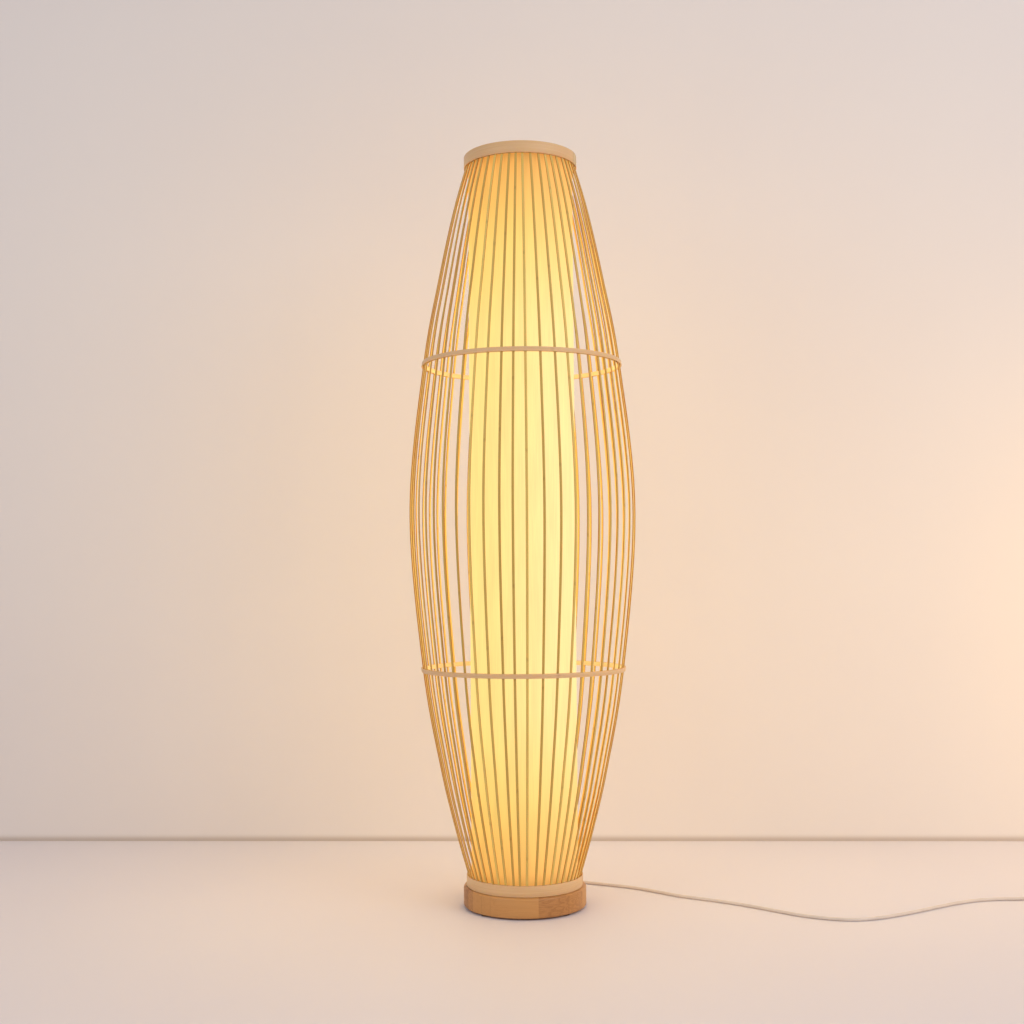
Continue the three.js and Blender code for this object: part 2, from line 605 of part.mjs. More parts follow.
function flex() {
  const relief = turned([
    [0, RELIEF.from], [RELIEF.radius, RELIEF.from], [RELIEF.radius, BASE_RADIUS + 1],
    [RELIEF.tip, RELIEF.to], [0, RELIEF.to],
  ], 12).rotateX(-Math.PI / 2);
  add('strain_relief', relief.translate(0, 0, RELIEF.height), flexSkin);
  const lead = floorCurve(LEAD_ROUTE);
  add('flex_to_switch', flexAlong(lead, 66), flexSkin);
  const coil = coilCentreLine();
  const coilStart = coil[0];
  const coilEnd = coil[coil.length - 1];
  const linkStart = SWITCH.x + SWITCH.length / 2 + SLEEVE.length + 2 * GAP;
  const link = floorCurve([
    [linkStart, SWITCH.y, SWITCH.inlet], [linkStart + 7, SWITCH.y, SWITCH.inlet - 0.5],
    [(linkStart + coilStart.x) / 2, SWITCH.y + 0.05, 4.5], [coilStart.x - 8, coilStart.y, 2.9],
    [coilStart.x - GAP, coilStart.y, FLEX_ON_FLOOR],
  ]);
  add('flex_to_coil', flexAlong(link, 6), flexSkin);
  add('flex_coil', tubeThrough(coil, 6, FLEX), flexSkin);
  const plugHeight = PLUG.thickness / 2;
  const plugTail = coilEnd.x - 26;
  const end = floorCurve([
    [coilEnd.x - GAP, coilEnd.y, coilEnd.z], [coilEnd.x - 9, coilEnd.y, coilEnd.z - 0.3],
    [coilEnd.x - 18, coilEnd.y, plugHeight + 0.3], [plugTail + GAP, coilEnd.y, plugHeight],
  ]);
  add('flex_to_plug', flexAlong(end, 4), flexSkin);
  const toSwitch = lead.getLength();
  const onwards = link.getLength() + new THREE.CatmullRomCurve3(coil).getLength() + end.getLength();
  console.log(`flex to the switch ${toSwitch.toFixed(0)} mm, and on to the plug ${onwards.toFixed(0)} mm`);
  plug(plugTail, coilEnd.y, plugHeight);
}

function plug(x, y, z) {
  const group = new THREE.Group();
  group.position.set(x, y, z);
  lamp.add(group);
  const tail = turned([[0, 0], [PLUG.tailTip, 0], [PLUG.tailRadius, PLUG.tail], [0, PLUG.tail]], 12);
  add('plug_tail', tail.rotateY(-Math.PI / 2), flexSkin, group);
  const { width, neck, length, thickness, rounding } = PLUG;
  const shoulder = -length * 0.45;
  const outline = new THREE.Shape([
    [0, -neck / 2], [0, neck / 2], [shoulder, width / 2], [-length, width / 2], [-length, -width / 2],
    [shoulder, -width / 2],
  ].map((point) => new THREE.Vector2(...point)));
  const body = new THREE.ExtrudeGeometry(outline, {
    depth: thickness - 2 * rounding, bevelThickness: rounding, bevelSize: rounding, bevelOffset: -rounding,
    bevelSegments: 1,
  });
  const bodyStart = -PLUG.tail - GAP;
  add('plug_body', body.translate(bodyStart, 0, rounding - thickness / 2), flexSkin, group);
  [1, -1].forEach((side, i) => {
    const outside = [[PIN.radius, 0], [PIN.radius, PIN.length - 2], [PIN.radius / 2, PIN.length]];
    const pin = turned([[0, 0], ...outside, [0, PIN.length]], 10).rotateY(-Math.PI / 2);
    pin.translate(bodyStart - length - GAP, (side * PIN.spacing) / 2, 0);
    add(`plug_pin_${i + 1}`, pin, brass, group);
  });
}

function footSwitch() {
  const group = new THREE.Group();
  group.position.set(SWITCH.x, SWITCH.y, 0);
  lamp.add(group);
  const { length, width, height, inlet, travel, rounding } = SWITCH;
  const housing = new THREE.ExtrudeGeometry(roundedOutline(length, width, SWITCH.corner), {
    depth: height - 2 * rounding, bevelThickness: rounding, bevelSize: rounding, bevelOffset: -rounding,
    bevelSegments: 2, curveSegments: 4,
  }).translate(0, 0, rounding);
  const half = 3 * height;
  const above = box(2 * length, 2 * width, half, 0, 0, inlet - GAP / 2 + half / 2);
  const below = box(2 * length, 2 * width, half, 0, 0, inlet + GAP / 2 - half / 2);
  const wellFloor = height - 8;
  const well = rod(SWITCH.well, wellFloor, 2 * height, 24);
  add('switch_lower_shell', cut(housing, above), whitePlastic, group);
  add('switch_upper_shell', cut(housing, below, well), whitePlastic, group);
  const [edge, foot] = [SWITCH.well - 0.5, wellFloor + travel + GAP];
  const crown = [[edge, height + 2], [edge - 1, height + 3.4], [edge - 4, height + 4.4], [0, height + 4.8]];
  add('switch_button', turned([[0, foot], [edge, foot], ...crown], 24), whitePlastic, group);
  [['inlet', -1], ['outlet', 1]].forEach(([end, side]) => {
    const sleeve = turned([[0, 0], [SLEEVE.radius, 0], [SLEEVE.tip, SLEEVE.length], [0, SLEEVE.length]], 12);
    sleeve.rotateY((side * Math.PI) / 2).translate(side * (length / 2 + GAP), 0, inlet);
    add(`switch_${end}_sleeve`, sleeve, flexSkin, group);
  });
}

baseDisc();
ballast();
footPads();
locatingDisc();
poleStack();
holderArm();
lights();
innerLeads();
cage();
shade();
flex();
footSwitch();

export default lamp;
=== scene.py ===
"""Looks of the rattan floor lamp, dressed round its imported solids.

Sizes are written in millimetres, as on a maker's drawing, and every mesh is made in metres in the
frame of the solids: +Z up, the floor at 0, the lamp's axis at x = y = 0 and its front towards -Y.
"""
import enum
import logging
import math
import random
from dataclasses import dataclass, field
from itertools import pairwise
from typing import Any, Iterable, Sequence

import bmesh
import bpy
from bmesh.types import BMEdge, BMesh, BMVert
from mathutils import Matrix, Vector


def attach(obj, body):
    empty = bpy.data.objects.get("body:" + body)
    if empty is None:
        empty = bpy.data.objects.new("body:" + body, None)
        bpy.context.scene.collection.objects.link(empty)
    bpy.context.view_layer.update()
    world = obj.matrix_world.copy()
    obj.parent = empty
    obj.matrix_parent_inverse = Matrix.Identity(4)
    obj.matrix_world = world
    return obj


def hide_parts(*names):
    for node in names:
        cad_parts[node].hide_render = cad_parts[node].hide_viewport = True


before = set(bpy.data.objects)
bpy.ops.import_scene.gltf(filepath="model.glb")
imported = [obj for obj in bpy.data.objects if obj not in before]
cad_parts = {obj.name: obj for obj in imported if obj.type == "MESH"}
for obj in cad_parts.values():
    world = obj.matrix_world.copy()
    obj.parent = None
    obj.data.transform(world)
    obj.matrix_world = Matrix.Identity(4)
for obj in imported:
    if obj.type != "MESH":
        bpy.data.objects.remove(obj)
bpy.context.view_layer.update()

MM = 0.001
GAP = 0.3  # between solids that touch
BASE_TOP = 33.0
LAMP_HEIGHT = 1200.0
CAGE_FOOT = BASE_TOP + GAP
SHADE_FOOT = 33.9
SHADE_HEAD = 1198.9
SLAT_COUNT = 50
FIRST_SLAT = math.radians(2.4)  # the front slat, turned from -Y towards +X
TUBE_BORE = 5.3  # radius of the hole in what stands on the threaded tube
ARM_REACH = 46.0  # from the lamp's axis to the lower holder's
LOWER_HOLDER = 352.6
UPPER_HOLDER = 714.6
GROOVE_PITCH = 4.4  # of the grooves in the plug's tail and in the strain relief
GLOW_HEIGHTS = (330.0, 480.0, 630.0, 780.0, 910.0)  # of the lights in the shade
GLOW_RADIUS = 77.0

log = logging.getLogger("lamp")

Colour = tuple[float, float, float, float]
Pair = tuple[float, float]  # mostly a radius and a height
Cells = tuple[float, float, float]  # of a noise, to a metre along each axis


class Body(enum.Enum):
    """The parts of the lamp that move against each other."""

    BASE = "base"
    CAGE = "cage"
    UPPER_BULB = "upper_bulb"
    LOWER_BULB = "lower_bulb"
    BUTTON = "foot_button"


class Slot(enum.Enum):
    """The record's finishes."""

    SLATS = "slat_bamboo"
    BANDS = "band_bamboo"
    WOOD = "base_wood"
    CLOTH = "shade_fabric"
    OPAL = "opal_globe"
    PLASTIC = "white_plastic"
    FLEX = "flex_skin"
    ZINC = "zinc_steel"
    BRASS = "brass_plate"
    FELT = "felt"


def turned(degrees: float, axis: str) -> Matrix:
    """Gives a turn about an axis."""
    return Matrix.Rotation(math.radians(degrees), 4, axis)


class Axis(enum.Enum):
    """Which way a turned piece points, as the turn that takes +Z there."""

    UP = Matrix.Identity(4)
    RIGHT = turned(90, "Y")
    LEFT = turned(-90, "Y")
    BACK = turned(-90, "X")


# Colours and nodes


def tone(red: float, green: float, blue: float) -> Colour:
    """Gives the linear colour of a display colour.

    Args:
        red: Red part, from 0 to 255.
        green: Green part, from 0 to 255.
        blue: Blue part, from 0 to 255.

    Returns:
        Linear red, green, blue and a full alpha.
    """
    parts = [part / 255 for part in (red, green, blue)]
    linear = [part / 12.92 if part <= 0.04045 else ((part + 0.055) / 1.055) ** 2.4 for part in parts]
    return (linear[0], linear[1], linear[2], 1.0)


class Graph:
    """The node tree of one finish, with a short call for each kind of node that it uses."""

    def __init__(self, name: str) -> None:
        """Starts an empty tree.

        Args:
            name: Name of the material.
        """
        self.material = bpy.data.materials.new(name)
        self.material.use_nodes = True
        self.tree = self.material.node_tree
        self.tree.nodes.clear()

    def add(self, kind: str, inputs: dict[Any, Any] | None = None, **settings: Any) -> bpy.types.Node:
        """Adds a node.

        Args:
            kind: The node's type.
            inputs: Values or sockets for its inputs, by name or number.
            **settings: Its other settings.

        Returns:
            The node.
        """
        node = self.tree.nodes.new(kind)
        for key, value in settings.items():
            setattr(node, key, value)
        for key, value in (inputs or {}).items():
            if isinstance(value, bpy.types.NodeSocket):
                self.tree.links.new(value, node.inputs[key])
            else:
                node.inputs[key].default_value = value
        return node

    def place(self, scale: Sequence[float], source: Any = None) -> Any:
        """Gives stretched coordinates in the lamp's own frame, or those of another source.

        Args:
            scale: Cells to a metre along each axis.
            source: Coordinates to stretch in place of the object's.

        Returns:
            A vector socket.
        """
        if source is None:
            source = self.add("ShaderNodeTexCoord").outputs["Object"]
        return self.add("ShaderNodeMapping", {"Vector": source, "Scale": scale}).outputs[0]

    def own(self, name: str, kind: str = "Vector") -> Any:
        """Gives an attribute of the mesh, by its name and the kind of output."""
        return self.add("ShaderNodeAttribute", attribute_name=name).outputs[kind]

    def noise(self, vector: Any, detail: float = 3.0, rough: float = 0.5) -> Any:
        """Gives a cloudy value from 0 to 1, with one cell to a unit of its coordinates.

        Args:
            vector: Where it is read.
            detail: Octaves.
            rough: How strong the finer octaves are.

        Returns:
            A value socket.
        """
        sockets = {"Vector": vector, "Scale": 1.0, "Detail": detail, "Roughness": rough}
        return self.add("ShaderNodeTexNoise", sockets).outputs[0]

    def sums(self, operation: str, *values: Any) -> Any:
        """Gives the result of a Math node.

        Args:
            operation: The node's operation.
            *values: Numbers or sockets.

        Returns:
            A value socket.
        """
        return self.add("ShaderNodeMath", dict(enumerate(values)), operation=operation).outputs[0]

    def weigh(self, *shares: tuple[Any, float]) -> Any:
        """Gives a sum of values, each times its weight.

        Args:
            *shares: The values and their weights.

        Returns:
            A value socket.
        """
        total, *others = [self.sums("MULTIPLY", value, weight) for value, weight in shares]
        for part in others:
            total = self.sums("ADD", total, part)
        return total

    def from_middle(self, value: Any) -> Any:
        """Gives how far a value lies from the middle of its unit, from 0 to a half."""
        return self.sums("ABSOLUTE", self.sums("SUBTRACT", self.sums("FRACT", value), 0.5))

    def spread(self, value: Any, low: float, high: float, to_low: float = 0.0, to_high: float = 1.0) -> Any:
        """Maps a value from one range to another, smoothly and within its ends.

        Args:
            value: What is mapped.
            low: Value that gives to_low.
            high: Value that gives to_high.
            to_low: First end of the result.
            to_high: Second end of the result.

        Returns:
            A value socket.
        """
        sockets = {"Value": value, 1: low, 2: high, 3: to_low, 4: to_high}
        return self.add("ShaderNodeMapRange", sockets, interpolation_type="SMOOTHSTEP").outputs[0]

    def mix(self, share: Any, first: Any, second: Any, way: str = "MIX") -> Any:
        """Gives a mix of two colours.

        Args:
            share: How much of the second colour, from 0 to 1.
            first: First colour.
            second: Second colour.
            way: The node's blend type.

        Returns:
            A colour socket.
        """
        node = self.add("ShaderNodeMix", {0: share, 6: first, 7: second}, data_type="RGBA", blend_type=way)
        return node.outputs[2]

    def ramp(self, value: Any, *stops: tuple[float, Colour]) -> Any:
        """Gives a colour along a smooth ramp.

        Args:
            value: Where on the ramp, from 0 to 1.
            *stops: Places and their colours, in order.

        Returns:
            A colour socket.
        """
        node = self.add("ShaderNodeValToRGB", {0: value})
        node.color_ramp.interpolation = "B_SPLINE"
        points = node.color_ramp.elements
        points[0].position, points[0].color = stops[0]
        points[1].position, points[1].color = stops[-1]
        for place, colour in stops[1:-1]:
            points.new(place).color = colour
        return node.outputs[0]

    def bump(self, height: Any, strength: float, depth: float) -> Any:
        """Gives a normal that follows a height.

        Args:
            height: From 0 to 1.
            strength: How much of it shows.
            depth: Its full height in millimetres.

        Returns:
            A vector socket.
        """
        sockets = {"Height": height, "Strength": strength, "Distance": depth * MM}
        return self.add("ShaderNodeBump", sockets).outputs[0]

    def skin(self, **inputs: Any) -> bpy.types.Material:
        """Ends the tree in a Principled surface.

        Args:
            **inputs: The surface's inputs, with underscores for the spaces in their names.

        Returns:
            The material.
        """
        sockets = {name.replace("_", " "): value for name, value in inputs.items()}
        surface = self.add("ShaderNodeBsdfPrincipled", sockets)
        self.add("ShaderNodeOutputMaterial", {"Surface": surface.outputs[0]})
        return self.material


# Finishes


@dataclass(frozen=True)
class StripBamboo:
    """Split bamboo whose fibres follow the strip, read from the strip's own straight coordinates."""

    name: str
    pale: Colour
    deep: Colour
    split: Colour  # of the sides, where the knife went through; its deep orange also carries painted warm light bounced between the slats
    inside: Colour  # of the inner face; on the slats its pale yellow is painted light, the shade's glow falling on them
    knot: Colour
    knot_pitch: float = 310.0
    roughness: float = 0.5
    skin_from: float = 0.55  # where the outer skin starts, in millimetres from the strip's middle
    skin_to: float = 0.9
    glow: float = 0.5  # share of the light that enters the strip
    depth: float = 1.6  # how far it goes in, in millimetres
    fibres: Cells = (1600, 1600, 9)
    clouds: Cells = (60, 60, 7)
    own_tone: float = 0.55  # how far the strips differ from each other
    knot_height: float = 5.0

    def make(self) -> bpy.types.Material:
        """Makes the material: long fibres, a tint of its own for each strip, and a knot now and then.

        Returns:
            The material.
        """
        graph = Graph(self.name)
        strip = graph.own("strip")
        fibres = graph.noise(graph.place(self.fibres, source=strip), detail=4, rough=0.6)
        clouds = graph.noise(graph.place(self.clouds, source=strip), detail=2)
        tint = graph.sums("SUBTRACT", graph.own("tint", "Fac"), 0.5)
        share = graph.weigh((fibres, 0.5), (clouds, 0.35), (tint, self.own_tone))
        skin = graph.mix(graph.spread(share, 0.15, 0.75), self.pale, self.deep)
        # the cut sides take the split colour, partly the bamboo's own cut colour, partly painted warm light bounced
        # between the slats
        split = graph.mix(graph.spread(fibres, 0.3, 0.7), self.split, self.deep)
        _, outwards, along = graph.add("ShaderNodeSeparateXYZ", {0: strip}).outputs
        start, full = self.skin_from * MM, self.skin_to * MM
        colour = graph.mix(graph.spread(outwards, start, full), split, skin)
        # the inner face takes the inside colour: painted glow of the shade on the slats' inner faces, painted shade
        # on the liners' faces turned from the shade
        colour = graph.mix(graph.spread(outwards, -full, -start, 1.0, 0.0), colour, self.inside)
        nearness = graph.from_middle(graph.sums("DIVIDE", along, self.knot_pitch * MM))
        ring = graph.spread(nearness, 0.0, self.knot_height / self.knot_pitch, 0.2, 0.0)
        colour = graph.mix(ring, colour, self.knot)
        height = graph.sums("ADD", fibres, ring)
        rough = graph.spread(fibres, 0.2, 0.8, self.roughness - 0.08, self.roughness + 0.12)
        return graph.skin(Base_Color=colour, Roughness=rough, Specular_IOR_Level=0.4, Coat_Weight=0.12,
                          Coat_Roughness=0.35, Normal=graph.bump(height, 0.35, 0.12),
                          Subsurface_Weight=self.glow, Subsurface_Radius=(1.0, 0.75, 0.3),
                          Subsurface_Scale=self.depth * MM)


@dataclass(frozen=True)
class JointedWood:
    """Blocks of pale hardwood, finger-jointed into staves and glued side by side, then turned and oiled."""

    name: str
    pale: Colour
    middle: Colour
    deep: Colour
    stave: float = 31.0
    block: float = 74.0
    stagger: float = 0.37  # from a stave's joints to its neighbour's, in blocks
    glue: float = 0.3
    roughness: float = 0.46
    grain: Cells = (26, 900, 900)
    ring_warp: Cells = (3, 55, 90)
    ring_count: float = 46.0
    own_tone: float = 0.75  # how far the blocks differ from each other

    def make(self) -> bpy.types.Material:
        """Makes the material: each block has its own tone and grain, with a fine dark glue line.

        Returns:
            The material.
        """
        graph = Graph(self.name)
        place = graph.add("ShaderNodeSeparateXYZ", {0: graph.add("ShaderNodeTexCoord").outputs["Object"]})
        row = graph.sums("DIVIDE", graph.sums("ADD", place.outputs[1], 1.0), self.stave * MM)
        row_number = graph.sums("FLOOR", row)
        stagger = graph.sums("MULTIPLY", row_number, self.stagger)
        column = graph.sums("ADD", graph.sums("DIVIDE", place.outputs[0], self.block * MM), stagger)
        number = graph.add("ShaderNodeCombineXYZ", {0: graph.sums("FLOOR", column), 1: row_number}).outputs[0]
        block_tint = graph.add("ShaderNodeTexWhiteNoise", {"Vector": number}).outputs
        offset = graph.add("ShaderNodeVectorMath", {0: block_tint["Color"], 1: (7.0, 5.0, 3.0)},
                           operation="MULTIPLY").outputs[0]
        shifted = graph.add("ShaderNodeVectorMath", {0: graph.place(self.ring_warp), 1: offset}).outputs[0]
        warp = graph.noise(shifted, detail=2, rough=0.4)
        grain = graph.noise(graph.place(self.grain), detail=4, rough=0.7)
        swing = graph.sums("SINE", graph.sums("MULTIPLY", warp, self.ring_count))
        tint = graph.sums("SUBTRACT", block_tint["Value"], 0.5)
        share = graph.weigh((graph.spread(swing, -1.0, 1.0), 0.2), (grain, 0.5), (tint, self.own_tone))
        colour = graph.ramp(share, (0.0, self.pale), (0.45, self.middle), (1.0, self.deep))
        lines = []
        for value, pitch in ((row, self.stave), (column, self.block)):
            lines.append(graph.spread(graph.from_middle(value), 0.5 - self.glue / pitch, 0.5))
        line = graph.sums("MULTIPLY", graph.sums("MAXIMUM", *lines), 0.5)
        colour = graph.mix(line, colour, self.deep)
        rough = graph.spread(grain, 0.2, 0.8, self.roughness - 0.06, self.roughness + 0.1)
        return graph.skin(Base_Color=colour, Roughness=rough, Specular_IOR_Level=0.45, Coat_Weight=0.2,
                          Coat_Roughness=0.3, Normal=graph.bump(grain, 0.2, 0.1))


@dataclass(frozen=True)
class LitCloth:
    """Pleatless shade cloth with upright threads, lit by the two bulbs behind it."""

    name: str
    cloth: Colour
    middle: Colour  # of the glow, from its centre to half its reach
    shoulder: Colour
    low: Colour
    end: Colour
    aside: Colour  # what is left of the glow on the side away from the lower bulb
    strength: float = 1.0
    centre: float = 610.0  # where the glow is strongest
    reach: float = 600.0
    sides: float = 80.0  # from the axis to where one side's glow gives way to the other's
    rim: Pair = (12.0, 36.0)  # the wire rings' shadow, from each end
    rim_shade: float = 0.74
    thread: float = 1.5

    def make(self) -> bpy.types.Material:
        """Makes the material: the glow fades and warms towards both ends, and threads darken it finely.

        Returns:
            The material.
        """
        graph = Graph(self.name)
        place = graph.add("ShaderNodeSeparateXYZ", {0: graph.add("ShaderNodeTexCoord").outputs["Object"]})
        away = graph.sums("ABSOLUTE", graph.sums("SUBTRACT", place.outputs[2], self.centre * MM))
        away = graph.sums("DIVIDE", away, self.reach * MM)
        glow = graph.ramp(away, (0.0, self.middle), (0.5, self.middle), (0.72, self.shoulder), (0.88, self.low),
                          (1.0, self.end))
        side = graph.spread(place.outputs[0], -self.sides * MM, self.sides * MM, 1.0, 0.0)
        glow = graph.mix(side, glow, self.aside, "MULTIPLY")
        ends = graph.sums("MINIMUM", graph.sums("SUBTRACT", SHADE_HEAD * MM, place.outputs[2]),
                          graph.sums("SUBTRACT", place.outputs[2], SHADE_FOOT * MM))
        rim = graph.spread(ends, self.rim[0] * MM, self.rim[1] * MM, self.rim_shade, 1.0)
        fine, coarse = 1000 / self.thread, 100 / self.thread
        threads = graph.noise(graph.place((fine, fine, 14)), detail=3, rough=0.65)
        slubs = graph.noise(graph.place((coarse, coarse, 9)), detail=3)
        weave = graph.weigh((threads, 0.5), (slubs, 0.5))
        dimming = graph.sums("MULTIPLY", graph.spread(weave, 0.25, 0.75, 0.88, 1.06), rim)
        grey = graph.add("ShaderNodeCombineColor", {0: dimming, 1: dimming, 2: dimming}).outputs[0]
        lit = graph.mix(1.0, glow, grey, "MULTIPLY")
        skin = graph.mix(graph.spread(weave, 0.2, 0.8, 0.0, 0.25), self.cloth, self.end)
        return graph.skin(Base_Color=skin, Roughness=0.85, Specular_IOR_Level=0.2, Sheen_Weight=0.05,
                          Emission_Color=lit, Emission_Strength=self.strength,
                          Normal=graph.bump(weave, 0.4, 0.15))


@dataclass(frozen=True)
class OpalGlass:
    """The bulb's frosted globe."""

    name: str
    colour: Colour
    warm: Colour
    strength: float

    def make(self) -> bpy.types.Material:
        """Makes the material: a soft even glow with the faintest mottle.

        Returns:
            The material.
        """
        graph = Graph(self.name)
        mottle = graph.noise(graph.place((90, 90, 90)), detail=2)
        lit = graph.mix(graph.spread(mottle, 0.2, 0.8, 0.0, 0.15), self.colour, self.warm)
        return graph.skin(Base_Color=tone(245, 240, 228), Roughness=0.3, Coat_Weight=0.3,
                          Emission_Color=lit, Emission_Strength=self.strength)


@dataclass(frozen=True)
class MouldedSkin:
    """Moulded plastic or a flex's sheath, with the grain of its mould and a little dust."""

    name: str
    colour: Colour
    dusty: Colour
    roughness: float = 0.42
    grain: float = 900.0
    depth: float = 0.03

    def make(self) -> bpy.types.Material:
        """Makes the material.

        Returns:
            The material.
        """
        graph = Graph(self.name)
        fine = graph.noise(graph.place((self.grain,) * 3), detail=2)
        clouds = graph.noise(graph.place((24, 24, 24)), detail=4, rough=0.6)
        colour = graph.mix(graph.spread(clouds, 0.35, 0.75, 0.0, 0.6), self.colour, self.dusty)
        rough = graph.spread(clouds, 0.3, 0.7, self.roughness - 0.05, self.roughness + 0.12)
        return graph.skin(Base_Color=colour, Roughness=rough, Normal=graph.bump(fine, 0.5, self.depth))


@dataclass(frozen=True)
class PlatedMetal:
    """Turned and plated steel or brass, with the rings that the tool left."""

    name: str
    colour: Colour
    dull: Colour
    roughness: float = 0.3

    def make(self) -> bpy.types.Material:
        """Makes the material.

        Returns:
            The material.
        """
        graph = Graph(self.name)
        rings = graph.noise(graph.place((40, 40, 2500)), detail=2)
        clouds = graph.noise(graph.place((55, 55, 55)), detail=4, rough=0.65)
        colour = graph.mix(graph.spread(clouds, 0.4, 0.8, 0.0, 0.7), self.colour, self.dull)
        rough = graph.spread(clouds, 0.3, 0.8, self.roughness - 0.06, self.roughness + 0.2)
        return graph.skin(Base_Color=colour, Metallic=1.0, Roughness=rough, Normal=graph.bump(rings, 0.25, 0.02))


@dataclass(frozen=True)
class Felt:
    """Pressed wool felt."""

    name: str
    colour: Colour
    fluff: Colour
    grain: float = 1400.0

    def make(self) -> bpy.types.Material:
        """Makes the material: a mat of short fibres with a soft sheen.

        Returns:
            The material.
        """
        graph = Graph(self.name)
        mat = graph.noise(graph.place((self.grain,) * 3), detail=5, rough=0.7)
        colour = graph.mix(graph.spread(mat, 0.3, 0.7), self.colour, self.fluff)
        return graph.skin(Base_Color=colour, Roughness=0.95, Specular_IOR_Level=0.1, Sheen_Weight=0.4,
                          Normal=graph.bump(mat, 0.8, 0.3))


@dataclass(frozen=True)
class StudioPaint:
    """The plain surface of the floor or of the wall, which can be looked through from behind."""

    name: str
    colour: Colour
    shade: Colour
    roughness: float
    seen_through: bool = False
    painted_foot_shadow: float = 0.0  # height of the painted soft shadow along its foot
    # colour of that painted shadow
    painted_foot_shadow_colour: Colour = tone(196, 182, 174)

    def make(self) -> bpy.types.Material:
        """Makes the material.

        Returns:
            The material.
        """
        graph = Graph(self.name)
        clouds = graph.noise(graph.place((0.8, 0.8, 0.8)), detail=3)
        colour = graph.mix(graph.spread(clouds, 0.3, 0.7), self.colour, self.shade)
        # a painted soft shadow darkens the paint towards its foot, where the wall meets the floor
        if self.painted_foot_shadow:
            height = graph.add("ShaderNodeSeparateXYZ", {0: graph.place((1, 1, 1))}).outputs[2]
            painted_foot_shadow_share = graph.spread(height, self.painted_foot_shadow / 8 * MM, self.painted_foot_shadow * MM)
            painted_foot_shadow_share = graph.sums("POWER", graph.sums("SUBTRACT", 1.0, painted_foot_shadow_share), 1.6)
            colour = graph.mix(painted_foot_shadow_share, colour, self.painted_foot_shadow_colour)
        surface = graph.add("ShaderNodeBsdfPrincipled", {
            "Base Color": colour, "Roughness": self.roughness, "Specular IOR Level": 0.25,
        }).outputs[0]
        if self.seen_through:
            behind = graph.add("ShaderNodeNewGeometry").outputs["Backfacing"]
            clear = graph.add("ShaderNodeBsdfTransparent").outputs[0]
            surface = graph.add("ShaderNodeMixShader", {0: behind, 1: surface, 2: clear}).outputs[0]
        graph.add("ShaderNodeOutputMaterial", {"Surface": surface})
        return graph.material


@dataclass(frozen=True)
class Finish:
    """A material of the lamp, and the record's name for it."""

    material: bpy.types.Material
    slot: Slot


class Finishes:
    """Every finish of the lamp, made once."""

    def __init__(self) -> None:
        """Makes the materials."""
        # the slats' deep orange split colour is partly the cut bamboo's colour and partly painted warm light bounced
        # between slats
        # the slats' pale yellow inside colour is painted light, the glow of the shade on their inner faces
        slats = StripBamboo("slat bamboo", pale=tone(234, 204, 112), deep=tone(202, 164, 80),
                            split=tone(186, 98, 30), inside=tone(238, 198, 106), knot=tone(132, 84, 40))
        bands = StripBamboo("band bamboo", pale=tone(240, 204, 156), deep=tone(218, 172, 120),
                            split=tone(206, 160, 108), inside=tone(232, 194, 140), knot=tone(170, 122, 78),
                            knot_pitch=263.0, roughness=0.55)
        # the liner strips' finish is the band bamboo painted lighter and yellower on the skin that faces the shade,
        # as painted glow from it, with a darker inside colour as painted shade on the face turned to the slats
        glow_lit_linings = StripBamboo("lining bamboo", pale=tone(247, 218, 180), deep=tone(230, 194, 145),
                              split=tone(206, 172, 128), inside=tone(182, 160, 132), knot=tone(166, 130, 92),
                              knot_pitch=263.0, roughness=0.55)
        wood = JointedWood("jointed wood", tone(208, 150, 86), tone(188, 128, 69), tone(138, 82, 38))
        cloth = LitCloth("lit shade cloth", cloth=tone(150, 124, 80), middle=tone(235, 225, 157),
                         shoulder=tone(231, 206, 119), low=tone(225, 175, 98), end=tone(214, 145, 64),
                         aside=(0.98, 0.91, 0.68, 1.0))
        opal = OpalGlass("opal glass", tone(255, 238, 202), tone(255, 222, 170), 1.6)
        plastic = MouldedSkin("white moulding", tone(238, 233, 222), tone(222, 214, 198))
        flex = MouldedSkin("flex skin", tone(228, 212, 200), tone(212, 194, 180), 0.38)
        zinc = PlatedMetal("zinc plate", tone(196, 198, 202), tone(150, 150, 150), 0.34)
        brass = PlatedMetal("brass plate", tone(214, 178, 104), tone(170, 132, 72), 0.3)
        felt = Felt("brown felt", tone(58, 38, 24), tone(96, 70, 50))
        self.slats = Finish(slats.make(), Slot.SLATS)
        self.bands = Finish(bands.make(), Slot.BANDS)
        self.glow_lit_linings = Finish(glow_lit_linings.make(), Slot.BANDS)
        self.wood = Finish(wood.make(), Slot.WOOD)
        self.cloth = Finish(cloth.make(), Slot.CLOTH)
        self.opal = Finish(opal.make(), Slot.OPAL)
        self.plastic = Finish(plastic.make(), Slot.PLASTIC)
        self.flex = Finish(flex.make(), Slot.FLEX)
        self.zinc = Finish(zinc.make(), Slot.ZINC)
        self.brass = Finish(brass.make(), Slot.BRASS)
        self.felt = Finish(felt.make(), Slot.FELT)


# Tools for meshes


